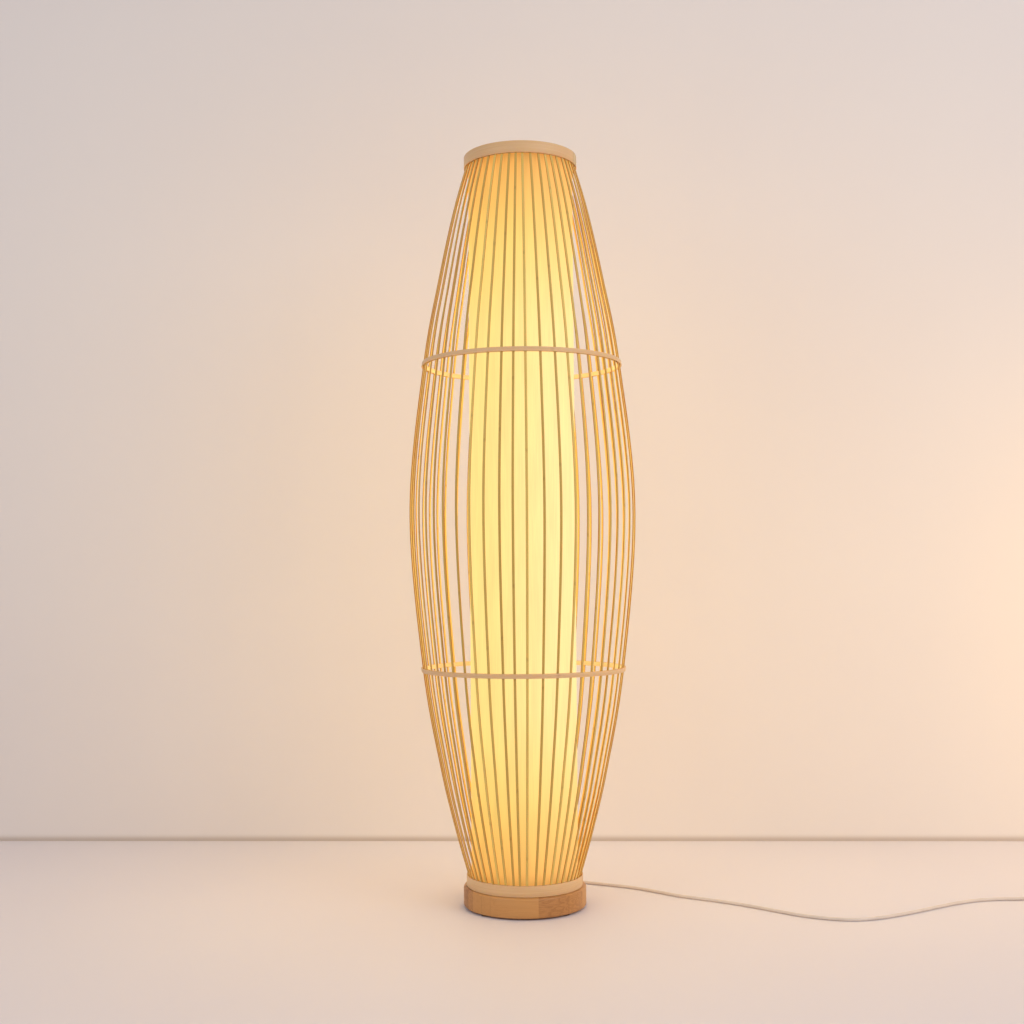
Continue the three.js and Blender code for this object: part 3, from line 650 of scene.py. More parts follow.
def lathe(profile: Sequence[Pair], steps: int, closed: bool = False, at: Sequence[float] = (0, 0, 0),
          axis: Axis = Axis.UP) -> BMesh:
    """Turns a profile about a line.

    Args:
        profile: Radius and height of each corner, in millimetres.
        steps: Steps round the turn.
        closed: Whether the last corner joins the first, as in a ring.
        at: Where the line's zero stands, in millimetres.
        axis: Which way the line points.

    Returns:
        The turned mesh.
    """
    bm = bmesh.new()
    corners = [bm.verts.new((radius * MM, 0, height * MM)) for radius, height in profile]
    pairs = list(pairwise(corners)) + ([(corners[-1], corners[0])] if closed else [])
    edges = [bm.edges.new(pair) for pair in pairs]
    bmesh.ops.spin(bm, geom=corners + edges, cent=(0, 0, 0), axis=(0, 0, 1), angle=math.tau, steps=steps,
                   use_merge=True)
    bmesh.ops.remove_doubles(bm, verts=bm.verts, dist=1e-6)
    bmesh.ops.recalc_face_normals(bm, faces=bm.faces)
    place = Matrix.Translation(Vector(at) * MM) @ axis.value
    bmesh.ops.transform(bm, matrix=place, verts=bm.verts)
    return bm


def block(size: Sequence[float], middle: Sequence[float]) -> BMesh:
    """Makes an oblong block.

    Args:
        size: Its length along each axis, in millimetres.
        middle: Where its middle lies, in millimetres.

    Returns:
        The closed mesh.
    """
    bm = bmesh.new()
    bmesh.ops.create_cube(bm, size=1.0)
    stretch = Matrix.Diagonal((*(side * MM for side in size), 1))
    bmesh.ops.transform(bm, matrix=Matrix.Translation(Vector(middle) * MM) @ stretch, verts=bm.verts)
    return bm


def groove(start: float, radius: float, depth: float = 0.9, wide: float = 1.3, rise: float = -0.1) -> list[Pair]:
    """Gives the profile of one groove round a moulded sleeve.

    Args:
        start: Where it starts along the sleeve.
        radius: The sleeve's radius there.
        depth: How deep it is.
        wide: Width of its floor.
        rise: How much wider the sleeve is after it.

    Returns:
        Its four corners.
    """
    slope = 0.4
    floor = radius - depth
    return [(radius, start), (floor, start + slope), (floor, start + slope + wide),
            (radius + rise, start + wide + 2 * slope)]


def bevel(bm: BMesh, edges: Sequence[BMEdge], width: float, segments: int) -> BMesh:
    """Rounds edges.

    Args:
        bm: The mesh.
        edges: The edges that are rounded.
        width: Width of the rounding, in millimetres.
        segments: Faces across it.

    Returns:
        The same mesh.
    """
    bmesh.ops.bevel(bm, geom=edges, offset=width * MM, offset_type="OFFSET", affect="EDGES", segments=segments,
                    profile=0.5, clamp_overlap=True, material=-1)
    return bm


def soften(bm: BMesh, width: float, segments: int = 2, sharper: float = 30.0) -> BMesh:
    """Rounds every edge that is sharper than an angle.

    Args:
        bm: The mesh.
        width: Width of the rounding, in millimetres.
        segments: Faces across it.
        sharper: The angle in degrees.

    Returns:
        The same mesh.
    """
    limit = math.radians(sharper)
    edges = [edge for edge in bm.edges if len(edge.link_faces) == 2 and edge.calc_face_angle() > limit]
    return bevel(bm, edges, width, segments)


def gather(parts: Iterable[BMesh]) -> BMesh:
    """Puts several meshes into one, with their attributes.

    Args:
        parts: The meshes, which are used up.

    Returns:
        One mesh.
    """
    whole = bmesh.new()
    for part in parts:
        holder = bpy.data.meshes.new("part")
        part.to_mesh(holder)
        part.free()
        whole.from_mesh(holder)
        bpy.data.meshes.remove(holder)
    return whole


@dataclass(frozen=True)
class StripSection:
    """The rounded oblong that a strip of bamboo is planed to, in millimetres."""

    width: float
    thickness: float
    corner: float
    segments: int = 2

    def lay_out(self, bm: BMesh) -> list[BMEdge]:
        """Draws the section flat.

        Args:
            bm: The mesh that it starts.

        Returns:
            Its outline.
        """
        across, out = self.width / 2 * MM, self.thickness / 2 * MM
        corners = [bm.verts.new((x, y, 0)) for x, y in
                   ((-across, -out), (across, -out), (across, out), (-across, out))]
        bm.faces.new(corners)
        bmesh.ops.bevel(bm, geom=corners, offset=self.corner * MM, affect="VERTICES", segments=self.segments,
                        profile=0.5, clamp_overlap=True, material=-1)
        return list(bm.edges)

    def sweep(self, stations: Sequence[Matrix], start: float, tint: float) -> BMesh:
        """Draws the section along a path, and writes the strip's straight coordinates on it.

        Args:
            stations: Where the section stands: x across the strip, y out of its face, z along it.
            start: Where on a long strip its piece was cut, in millimetres.
            tint: Its own tone, from 0 to 1.

        Returns:
            The strip, closed at both ends.
        """
        bm = bmesh.new()
        strip = bm.verts.layers.float_vector.new("strip")
        own_tint = bm.verts.layers.float.new("tint")
        rim = self.lay_out(bm)
        along = start * MM
        for vert in bm.verts:
            vert[strip] = Vector((vert.co.x, vert.co.y, along))
            vert[own_tint] = tint
        bmesh.ops.transform(bm, matrix=stations[0], verts=bm.verts)
        for before, after in pairwise(stations):
            made = bmesh.ops.extrude_edge_only(bm, edges=rim)["geom"]
            ring = [part for part in made if isinstance(part, BMVert)]
            rim = [part for part in made if isinstance(part, BMEdge) and part.is_boundary]
            along += (after.translation - before.translation).length
            for vert in ring:
                vert[strip] = Vector((vert[strip].x, vert[strip].y, along))
            bmesh.ops.transform(bm, matrix=after @ before.inverted(), verts=ring)
        bmesh.ops.contextual_create(bm, geom=rim)
        bmesh.ops.recalc_face_normals(bm, faces=bm.faces)
        return bm


def station(origin: Vector, along: Vector, out: Vector, scale: float = 1.0) -> Matrix:
    """Gives the place of a strip's section.

    Args:
        origin: Its middle.
        along: The strip's direction there.
        out: Roughly the way that the strip's face looks.
        scale: Share of the full thickness that the strip has there.

    Returns:
        The section's matrix.
    """
    z = along.normalized()
    x = out.cross(z).normalized()
    y = z.cross(x)
    turn = Matrix((x, y, z)).transposed().to_4x4()
    return Matrix.Translation(origin) @ turn @ Matrix.Diagonal((1, scale, 1, 1))


def turned_point(radius: float, azimuth: float, height: float) -> Vector:
    """Gives a point round the lamp's axis.

    Args:
        radius: Distance from the axis, in millimetres.
        azimuth: Angle from the front towards +X, in radians.
        height: Height in millimetres.

    Returns:
        The point, in metres.
    """
    return Vector((radius * math.sin(azimuth), -radius * math.cos(azimuth), height)) * MM


def smooth(value: float) -> float:
    """Gives a smooth step from 0 to 1."""
    kept = min(max(value, 0.0), 1.0)
    return kept * kept * (3 - 2 * kept)


def piece(name: str, bm: BMesh, body: Body, finish: Finish, replaces: Sequence[str] = (),
          sharp: float = 40.0) -> bpy.types.Object:
    """Makes a finished piece of a mesh.

    Args:
        name: The piece's name.
        bm: Its mesh, which is used up.
        body: What it moves with.
        finish: What it is made of.
        replaces: The solids that it stands for.
        sharp: Edges sharper than this angle in degrees keep a crease.

    Returns:
        The piece.
    """
    limit = math.radians(sharp)
    for face in bm.faces:
        face.smooth = True
    for edge in bm.edges:
        edge.smooth = len(edge.link_faces) != 2 or edge.calc_face_angle() < limit
    mesh = bpy.data.meshes.new(name)
    bm.to_mesh(mesh)
    bm.free()
    return settle(name, mesh, body, finish, replaces)


def cord(name: str, route: Sequence[Vector], diameter: float, finish: Finish,
         replaces: Sequence[str]) -> bpy.types.Object:
    """Lays a round cord along its route.

    Args:
        name: The piece's name.
        route: Its points, in metres.
        diameter: In millimetres.
        finish: What it is made of.
        replaces: The solids that it stands for.

    Returns:
        A curve of one open spline, on the base.
    """
    curve = bpy.data.curves.new(name, "CURVE")
    curve.dimensions = "3D"
    curve.bevel_depth = diameter / 2 * MM
    curve.bevel_resolution = 5
    curve.resolution_u = 8
    curve.use_fill_caps = True
    spline = curve.splines.new("BEZIER")
    spline.bezier_points.add(len(route) - 1)
    for knot, point in zip(spline.bezier_points, route):
        knot.co = point
        knot.handle_left_type = knot.handle_right_type = "AUTO"
    return settle(name, curve, Body.BASE, finish, replaces)


def settle(name: str, shape: Any, body: Body, finish: Finish, replaces: Sequence[str]) -> bpy.types.Object:
    """Makes a piece of a shape, puts it on its body and reports it.

    Args:
        name: The piece's name.
        shape: Its mesh or curve.
        body: What it moves with.
        finish: What it is made of.
        replaces: The solids that it stands for.

    Returns:
        The piece.
    """
    shape.materials.append(finish.material)
    made = bpy.data.objects.new(name, shape)
    bpy.context.scene.collection.objects.link(made)
    if replaces:
        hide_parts(*replaces)
    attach(made, body.value)
    count = len(shape.polygons) if made.type == "MESH" else len(shape.splines[0].bezier_points)
    log.info("%s on %s: %d faces or points, for %s", name, body.value, count, list(replaces) or "no solid")
    return made


def carve(made: bpy.types.Object, *tools: BMesh) -> None:
    """Cuts tools out of a piece and keeps the result as its mesh.

    Args:
        made: The piece.
        *tools: Closed meshes, which are used up.
    """
    mesh = bpy.data.meshes.new("tool")
    cutter_bm = gather(tools)
    cutter_bm.to_mesh(mesh)
    cutter_bm.free()
    cutter = bpy.data.objects.new("tool", mesh)
    bpy.context.scene.collection.objects.link(cutter)
    cut = made.modifiers.new("cut", "BOOLEAN")
    cut.operation, cut.solver, cut.object = "DIFFERENCE", "EXACT", cutter
    bpy.context.view_layer.update()
    evaluated = made.evaluated_get(bpy.context.evaluated_depsgraph_get())
    result = bpy.data.meshes.new_from_object(evaluated)
    made.modifiers.remove(cut)
    made.data = result
    bpy.data.objects.remove(cutter)
    bpy.data.meshes.remove(mesh)


def wash(finish: Finish, *nodes: str) -> None:
    """Gives solids that stay as they are their finish.

    Args:
        finish: What they are made of.
        *nodes: Their names.
    """
    for name in nodes:
        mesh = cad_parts[name].data
        mesh.materials.clear()
        mesh.materials.append(finish.material)
        log.info("%s keeps its solid, in %s", name, finish.material.name)


def hang_glow(name: str, power: float, colour: Colour, room: bpy.types.Collection | None = None) -> None:
    """Hangs a row of soft round lights in the shade.

    Args:
        name: Their name.
        power: Of each, in watts.
        colour: Their colour.
        room: The surfaces that they light, if they light no others.
    """
    for height in GLOW_HEIGHTS:
        light = bpy.data.lights.new(name, "POINT")
        light.shadow_soft_size = GLOW_RADIUS * MM
        light.energy, light.color = power, colour[:3]
        made = bpy.data.objects.new(name, light)
        made.location = (0, 0, height * MM)
        made.visible_camera = made.visible_glossy = False
        if room:
            made.light_linking.receiver_collection = room
        bpy.context.scene.collection.objects.link(made)


# The cage


@dataclass
class Cage:
    """Fifty bent slats between inner and outer strips of bamboo."""

    finishes: Finishes
    slat: StripSection = StripSection(3.8, 1.9, 0.62)
    band_thickness: float = 1.7
    strip_thickness: float = 2.0
    strip_steps: int = 170
    hoop_width: float = 7.0
    between: float = 2.0  # from a slat's outer strip to its inner one
    play: float = 0.05  # of a slat between them, on either side
    lap: float = 42.0  # of a strip's two ends on each other
    lap_thinning: float = 0.62  # share of its thickness that an end loses
    lap_lift: float = 0.42  # how far the upper end stands out, in thicknesses
    lap_lead: float = 0.12  # how much earlier than the lap that starts, in laps
    bottom_band_top: float = 50.5
    top_band_foot: float = 1181.2
    bottom_radius: float = 90.2  # outside of the slats in the bottom band
    top_radius: float = 89.6
    liner_face: float = 85.6
    lower_hoop: float = 373.0
    upper_hoop: float = 861.0
    slat_steps: int = 60
    most_off: float = 1.1  # how far a slat behind stands off its even place, in degrees
    most_drift: float = 0.5  # how far a slat's head stands off its foot, in degrees
    # how far each slat in front stands off its even place, in degrees, from left to right
    front_turns: tuple[float, ...] = (-0.4, -0.6, -1.1, 0.0, -0.4, -0.2, 0.6, -0.4, -0.9,
                                      0.5, 1.2, 1.8, 1.4, 1.0, 1.6, 0.2, 0.1)

    def radius(self, height: float) -> float:
        """Gives the outside of the slats at a height.

        Args:
            height: In millimetres.

        Returns:
            The radius in millimetres.
        """
        corners = [(self.bottom_radius, self.bottom_band_top), (109.9, 120), (132.7, 215), (160.6, self.lower_hoop),
                   (181.3, 625), (158.7, self.upper_hoop), (133.5, 1000), (109.6, 1110),
                   (self.top_radius, self.top_band_foot)]
        if height <= corners[0][1] or height >= corners[-1][1]:
            return corners[0][0] if height <= corners[0][1] else corners[-1][0]
        index = max(i for i in range(len(corners) - 1) if corners[i][1] <= height)
        ends = [corners[max(index - 1, 0)], corners[index], corners[index + 1],
                corners[min(index + 2, len(corners) - 1)]]
        low, high = 0.0, 1.0
        for _ in range(40):  # halvings, down to the last digits of a float
            share = (low + high) / 2
            point = self.spline(ends, share)
            low, high = (share, high) if point[1] < height else (low, share)
        return self.spline(ends, (low + high) / 2)[0]

    @staticmethod
    def spline(ends: Sequence[Pair], share: float) -> Pair:
        """Gives a point on an even spline through four corners, between the middle two.

        Args:
            ends: The corners.
            share: Where between the two, from 0 to 1.

        Returns:
            The point.
        """
        before, first, second, after = (Vector(end) for end in ends)
        leave, arrive = (second - before) / 2, (after - first) / 2
        point = ((2 * first - 2 * second + leave + arrive) * share ** 3
                 + (-3 * first + 3 * second - 2 * leave - arrive) * share ** 2 + leave * share + first)
        return (point.x, point.y)

    def slat_stations(self, azimuth: float, drift: float) -> list[Matrix]:
        """Gives the places of one slat's section, from its foot to its head.

        Args:
            azimuth: Where it stands, in radians.
            drift: How far its head stands off that, in radians.

        Returns:
            The stations.
        """
        foot, head = CAGE_FOOT, LAMP_HEIGHT - GAP
        into_band = 6.0
        heights = [foot, self.bottom_band_top - into_band]
        span = self.top_band_foot - self.bottom_band_top
        heights += [self.bottom_band_top + span * i / self.slat_steps for i in range(self.slat_steps + 1)]
        heights += [self.top_band_foot + into_band, head]
        middle = self.slat.thickness / 2 + self.play
        points = [turned_point(self.radius(z) - middle, azimuth + drift * smooth(z / head), z) for z in heights]
        stations = []
        for i, point in enumerate(points):
            along = points[min(i + 1, len(points) - 1)] - points[max(i - 1, 0)]
            stations.append(station(point, along, Vector((point.x, point.y, 0))))
        return stations

    def strip(self, name: str, section: StripSection, faces: tuple[Pair, Pair], lap_at: float,
              replaces: Sequence[str], outside: bool = True, tint: float = 0.5) -> bpy.types.Object:
        """Makes a strip that is bent into a ring, its thinned ends lapped on each other.

        Args:
            name: The piece's name.
            section: What it was planed to.
            faces: Radius of its face that the slats touch and height, at its lower and its upper edge.
            lap_at: Where the lap ends, in radians from the front.
            replaces: The solids that it stands for.
            outside: Whether it lies outside the slats.
            tint: Its own tone, from 0 for pale to 1 for deep.

        Returns:
            The piece.
        """
        (low_radius, low_height), (high_radius, high_height) = faces
        side = 1 if outside else -1
        radius = (low_radius + high_radius) / 2
        height = (low_height + high_height) / 2
        lean = math.atan2(high_radius - low_radius, high_height - low_height)
        lap_turn = self.lap / radius
        stations = []
        for i in range(self.strip_steps + 1):
            turn = (math.tau + lap_turn) * i / self.strip_steps
            into_lap = smooth(1 - turn / lap_turn)
            onto_lap = smooth((turn - math.tau) / lap_turn + self.lap_lead)
            left = 1 - self.lap_thinning * max(into_lap, onto_lap)
            thickness = section.thickness * left
            lift = section.thickness * self.lap_lift * onto_lap
            azimuth = lap_at + lap_turn - turn
            middle = turned_point(radius + side * (thickness / 2 + lift), azimuth, height)
            out = turned_point(math.cos(lean), azimuth, -math.sin(lean)) * side
            along = turned_point(-1, azimuth + math.pi / 2, 0)
            stations.append(station(middle, along, out, left))
        made = section.sweep(stations, radius, tint)
        # liner strips take the finish that carries the shade's painted glow on the face that looks at it
        finish = self.finishes.bands if outside else self.finishes.glow_lit_linings
        return piece(name, made, Body.CAGE, finish, replaces)

    def build(self) -> None:
        """Builds the slats, the bands, the hoops and their liners."""
        draw = random.Random(50)
        culm = 4000.0  # length that each slat's piece of grain is taken from
        slats = []
        left = len(self.front_turns) // 2
        for index in range(-left, SLAT_COUNT - left):
            in_front = index <= left
            off = self.front_turns[index + left] if in_front else draw.uniform(-self.most_off, self.most_off)
            drift = math.radians(draw.uniform(-self.most_drift, self.most_drift))
            azimuth = FIRST_SLAT + math.tau * index / SLAT_COUNT + math.radians(off)
            stations = self.slat_stations(azimuth, drift)
            slats.append(self.slat.sweep(stations, draw.uniform(0, culm), draw.random()))
        piece("bent_slats", gather(slats), Body.CAGE, self.finishes.slats, ["slat_cage"])
        self.build_bands()
        self.build_hoops()

    def build_bands(self) -> None:
        """Builds the strips round the slats' feet and heads."""
        foot, low = CAGE_FOOT, self.bottom_band_top
        head, high = LAMP_HEIGHT, self.top_band_foot
        thick = self.band_thickness
        face = self.bottom_radius + GAP
        self.strip("foot_band", StripSection(low - foot, thick, 0.7), ((face, foot), (face, low)),
                   math.radians(-118), ["bottom_band"])
        face = self.bottom_radius - self.between
        self.strip("foot_band_liner", StripSection(low - foot - GAP, face - self.liner_face, 0.6),
                   ((face, foot), (face, low - GAP)), math.radians(150), ["slat_cage"], False)
        face = self.top_radius + GAP
        self.strip("head_band", StripSection(head - high, thick, 0.7), ((face, high), (face, head)),
                   math.radians(68), ["top_band"], tint=0.6)
        face = self.top_radius - self.between - GAP
        self.strip("head_band_liner", StripSection(head - high - 2 * GAP, face - self.liner_face, 0.5),
                   ((face, high + GAP), (face, head - GAP)), math.radians(-140), ["top_band_liner"], False)

    def build_hoops(self) -> None:
        """Builds the two hoops, each an outer strip and a liner strip that lean with the slats."""
        section = StripSection(self.hoop_width, self.strip_thickness, 0.6)
        for level, height, lap_at in (("lower", self.lower_hoop, -88), ("upper", self.upper_hoop, -86)):
            half = self.hoop_width / 2
            edges = [(self.radius(z), z) for z in (height - half, height + half)]
            outer = tuple((radius + GAP, z) for radius, z in edges)
            inner = tuple((radius - self.between - GAP, z) for radius, z in edges)
            self.strip(f"{level}_hoop_strip", section, outer, math.radians(lap_at), [f"{level}_hoop"])
            self.strip(f"{level}_hoop_inner_strip", section, inner, math.radians(lap_at + 180),
                       [f"{level}_hoop_liner"], False)


# The shade


@dataclass
class Shade:
    """A straight tube of cloth, hemmed over a wire ring at each end."""

    finishes: Finishes
    radius: float = 84.9
    foot: float = SHADE_FOOT
    head: float = SHADE_HEAD
    overlap: float = 12.0
    cloth_thickness: float = 0.5
    cloth_inset: float = 0.6  # of the cloth below the tube's radius, and of its overlap's lift
    ripple: float = 0.15
    ripple_length: float = 21.0
    hem: float = 9.0
    hem_cloth: float = 0.35
    wire: float = 3.0
    wire_inset: float = 18.0
    wire_radius: float = 82.2
    steps_round: int = 192
    steps_up: int = 60
    light_power: float = 1.0
    light_colour: Colour = (1.0, 0.76, 0.25, 1.0)

    def cloth(self) -> BMesh:
        """Rolls a flat sheet into the tube, its side edges overlapped at the back.

        Returns:
            The sheet, one layer thick.
        """
        width = math.tau * self.radius + self.overlap
        height = self.head - self.foot
        bm = bmesh.new()
        bmesh.ops.create_grid(bm, x_segments=self.steps_round, y_segments=self.steps_up, size=0.5)
        reach = max(vert.co.x for vert in bm.verts)
        for vert in bm.verts:
            across = (vert.co.x / reach + 1) / 2 * width
            up = (vert.co.y / reach + 1) / 2 * height
            lift = self.cloth_inset * smooth((across - (width - self.overlap * 1.6)) / (self.overlap * 0.6))
            give = self.ripple * math.sin(across / self.ripple_length) * math.sin(math.pi * up / height)
            vert.co = turned_point(self.radius - self.cloth_inset + lift + give, math.pi + across / self.radius,
                                   self.foot + up)
        bmesh.ops.recalc_face_normals(bm, faces=bm.faces)
        return bm

    def build(self) -> None:
        """Builds the cloth, its hems and its wires."""
        cloth = piece("shade_cloth", self.cloth(), Body.CAGE, self.finishes.cloth, ["shade"])
        solid = cloth.modifiers.new("thickness", "SOLIDIFY")
        solid.thickness = self.cloth_thickness * MM
        solid.offset = 0
        hems = []
        outer, inner, skin = self.radius + 0.1, self.radius - 1.5, self.hem_cloth
        for end, node, edge, way in (("foot", "shade_bottom_wire", self.foot, 1),
                                     ("head", "shade_top_wire", self.head, -1)):
            edge_in, fold = edge + way * self.hem, edge + way * skin
            profile = [(outer, edge_in), (outer, edge), (inner, edge), (inner, edge_in), (inner + skin, edge_in),
                       (inner + skin, fold), (outer - skin, fold), (outer - skin, edge_in)]
            hem = soften(lathe(profile, 160, closed=True), 0.15)
            hems.append(piece(f"shade_hem_{end}", hem, Body.CAGE, self.finishes.cloth))
            middle, half = edge + way * self.wire_inset, self.wire / 2
            turn = [math.tau * i / 12 for i in range(12)]
            wire = [(self.wire_radius + half * math.cos(a), middle + half * math.sin(a)) for a in turn]
            piece(f"shade_wire_{end}", lathe(wire, 128, closed=True), Body.CAGE, self.finishes.zinc, [node])
        for passes in (cloth, *hems):
            passes.visible_shadow = False  # the cloth lets the bulbs' light through
        hang_glow("shade_light", self.light_power, self.light_colour)


# The base


@dataclass
class Base:
    """A turned wooden disc on felt pads, with its ballast and the disc that the shade drops over."""

    finishes: Finishes
    radius: float = 97.0
    foot: float = 2.3
    bore: float = 5.6
    recess: float = 70.0
    recess_top: float = 17.0
    channel_width: float = 12.0
    channel_top: float = 12.99
    channel_length: float = 40.0
    channel_middle: float = 14.0  # in from the rim
    locator_radius: float = 83.4
    locator_height: float = 12.0
    pad_radius: float = 9.0
    pad_height: float = 2.0
    pad_circle: float = 84.0

    def build(self) -> None:
        """Builds the wooden discs, the pads and the dressed ballast."""
        wood, rim = self.finishes.wood, self.radius
        profile = [(self.bore, self.recess_top), (self.recess, self.recess_top), (self.recess, self.foot),
                   (rim - 2.4, self.foot), (rim - 0.9, self.foot + 0.6), (rim, self.foot + 2.2),
                   (rim, BASE_TOP - 3.2), (rim - 0.9, BASE_TOP - 0.95), (rim - 3.2, BASE_TOP),
                   (self.bore, BASE_TOP)]
        disc = soften(lathe(profile, 160, closed=True), 0.5, sharper=24)
        made = piece("wood_base", disc, Body.BASE, wood, ["base_disc"])
        carve(made, block((self.channel_width, self.channel_length, self.channel_top),
                          (0, rim - self.channel_middle, self.channel_top / 2)))
        edge, top = self.locator_radius, CAGE_FOOT + self.locator_height
        profile = [(self.bore, CAGE_FOOT), (edge, CAGE_FOOT), (edge, top - 2), (edge - 2, top), (self.bore, top)]
        piece("locating_wood", soften(lathe(profile, 128, closed=True), 0.4), Body.BASE, wood, ["locating_disc"])
        pads = []
        wide, tall = self.pad_radius, self.pad_height
        for i in range(4):
            spot = turned_point(self.pad_circle, math.radians(45 + 90 * i), 0) / MM
            pads.append(soften(lathe([(0, 0), (wide, 0), (wide, tall), (0, tall)], 40, at=spot), 0.5))
        piece("felt_pads", gather(pads), Body.BASE, self.finishes.felt, [f"foot_pad_{i + 1}" for i in range(4)])
        wash(self.finishes.zinc, "ballast_plate", *(f"ballast_screw_{i + 1}" for i in range(3)))


# The stack, the lamp holders and the bulbs


@dataclass
class Stack:
    """The threaded tube and what is clamped on it, below the upper lamp holder."""

    finishes: Finishes
    flange_foot: float = 45.6
    flange_height: float = 13.0
    flange_radius: float = 30.0
    sleeve_radius: float = 8.0
    arm_foot: float = 349.3
    arm_thickness: float = 3.0

    def build(self) -> None:
        """Builds the flange and the sleeves, and dresses the rest."""
        brass, low, wide = self.finishes.brass, self.flange_foot, self.flange_radius
        top = low + self.flange_height
        flange = [(TUBE_BORE, low), (wide, low), (wide, low + 1.5), (wide - 4, low + 3.5), (11.5, low + 5),
                  (9.5, top), (TUBE_BORE, top)]
        piece("brass_flange", soften(lathe(flange, 96, closed=True), 0.5), Body.BASE, brass, ["base_flange"])
        arm_top = self.arm_foot + self.arm_thickness
        out = self.sleeve_radius
        for name, foot, head in (("lower", top + GAP, self.arm_foot - GAP),
                                 ("upper", arm_top + GAP, UPPER_HOLDER - GAP)):
            wall = [(TUBE_BORE, foot), (out, foot), (out, head), (TUBE_BORE, head)]
            piece(f"{name}_pole_sleeve", soften(lathe(wall, 64, closed=True), 0.4), Body.BASE, brass,
                  [f"{name}_sleeve"])
        wash(self.finishes.zinc, "threaded_tube", "pole_washer", "pole_nut", "holder_arm", "arm_nut", "arm_nipple")


@dataclass
class LampHolder:
    """A screw lamp holder and its bulb."""

    finishes: Finishes
    side: str
    body: Body
    x: float
    foot: float
    radius: float = 20.5
    cap_height: float = 14.0
    height: float = 52.0
    ridges: int = 9
    ridge_pitch: float = 3.3
    screw_foot: float = 23.3
    screw_top: float = 48.0
    screw_radius: float = 13.15
    screw_turns: int = 5
    screw_pitch: float = 3.1
    skirt_top: float = 84.0
    globe: float = 30.0
    globe_middle: float = 98.0

    def turn(self, profile: Sequence[Pair], closed: bool = False) -> BMesh:
        """Turns a profile about the holder's own line, from its foot."""
        return lathe(profile, 64, closed, (self.x, 0, self.foot))

    def build(self) -> None:
        """Builds the holder's cap and shell and the bulb's three parts."""
        wide, cap, top = self.radius, self.cap_height, self.height
        side, plastic = self.side, self.finishes.plastic
        body = [(TUBE_BORE, 0), (wide - 4, 0), (wide - 1, 3), (wide - 1, cap), (TUBE_BORE, cap)]
        piece(f"{side}_holder_cover", soften(self.turn(body, True), 0.6), Body.BASE, plastic, [f"{side}_holder_cap"])
        outside = [(wide - 1, cap + GAP), (wide - 0.4, cap + 2.5)]
        for ridge in range(self.ridges):
            low = cap + 6 + ridge * self.ridge_pitch
            outside += [(wide - 0.9, low), (wide - 0.1, low + 0.8), (wide - 0.1, low + 1.7)]
        outside += [(wide - 0.6, top - 2), (wide, top - 1.4), (wide, top), (wide - 2, top), (wide - 2, cap + GAP)]
        piece(f"{side}_holder_barrel", soften(self.turn(outside, True), 0.25), Body.BASE, plastic,
              [f"{side}_holder_shell"])
        wash(plastic, f"{side}_holder_insulator")
        wash(self.finishes.brass, f"{side}_holder_thread")
        self.build_bulb()

    def build_bulb(self) -> None:
        """Builds the bulb: a threaded cap, a collar and an opal globe."""
        foot, top, wide = self.screw_foot, self.screw_top, self.screw_radius
        side = self.side
        cap = [(0, foot), (4.5, foot), (6, foot + 2), (11.4, foot + 4.5)]
        for ridge in range(self.screw_turns):
            low = foot + 6.5 + ridge * self.screw_pitch
            cap += [(12.2, low - 0.8), (wide, low + 0.5), (wide, low + 1.0)]
        cap += [(12.4, top - 1), (12.4, top), (0, top)]
        piece(f"{side}_bulb_screw", self.turn(cap), self.body, self.finishes.zinc, [f"{side}_bulb_cap"])
        low, high = top + GAP, self.skirt_top
        collar = [(0, low), (13.6, low), (14, low + 4), (16.2, low + 8), (19, low + 14), (22.4, low + 21),
                  (24.8, low + 28), (26.6, high), (0, high)]
        piece(f"{side}_bulb_skirt", soften(self.turn(collar), 0.4, sharper=50), self.body, self.finishes.plastic,
              [f"{side}_bulb_collar"])
        middle, low = self.globe_middle, high + GAP
        first = math.asin((low - middle) / self.globe)
        rise = [first + (math.pi / 2 - first) * i / 24 for i in range(24)]
        arc = [(self.globe * math.cos(angle), middle + self.globe * math.sin(angle)) for angle in rise]
        dome = [(0, low), *arc, (0, middle + self.globe)]
        piece(f"{side}_opal_globe", self.turn(dome), self.body, self.finishes.opal, [f"{side}_bulb_globe"], sharp=60)


# The flex, the foot switch and the plug


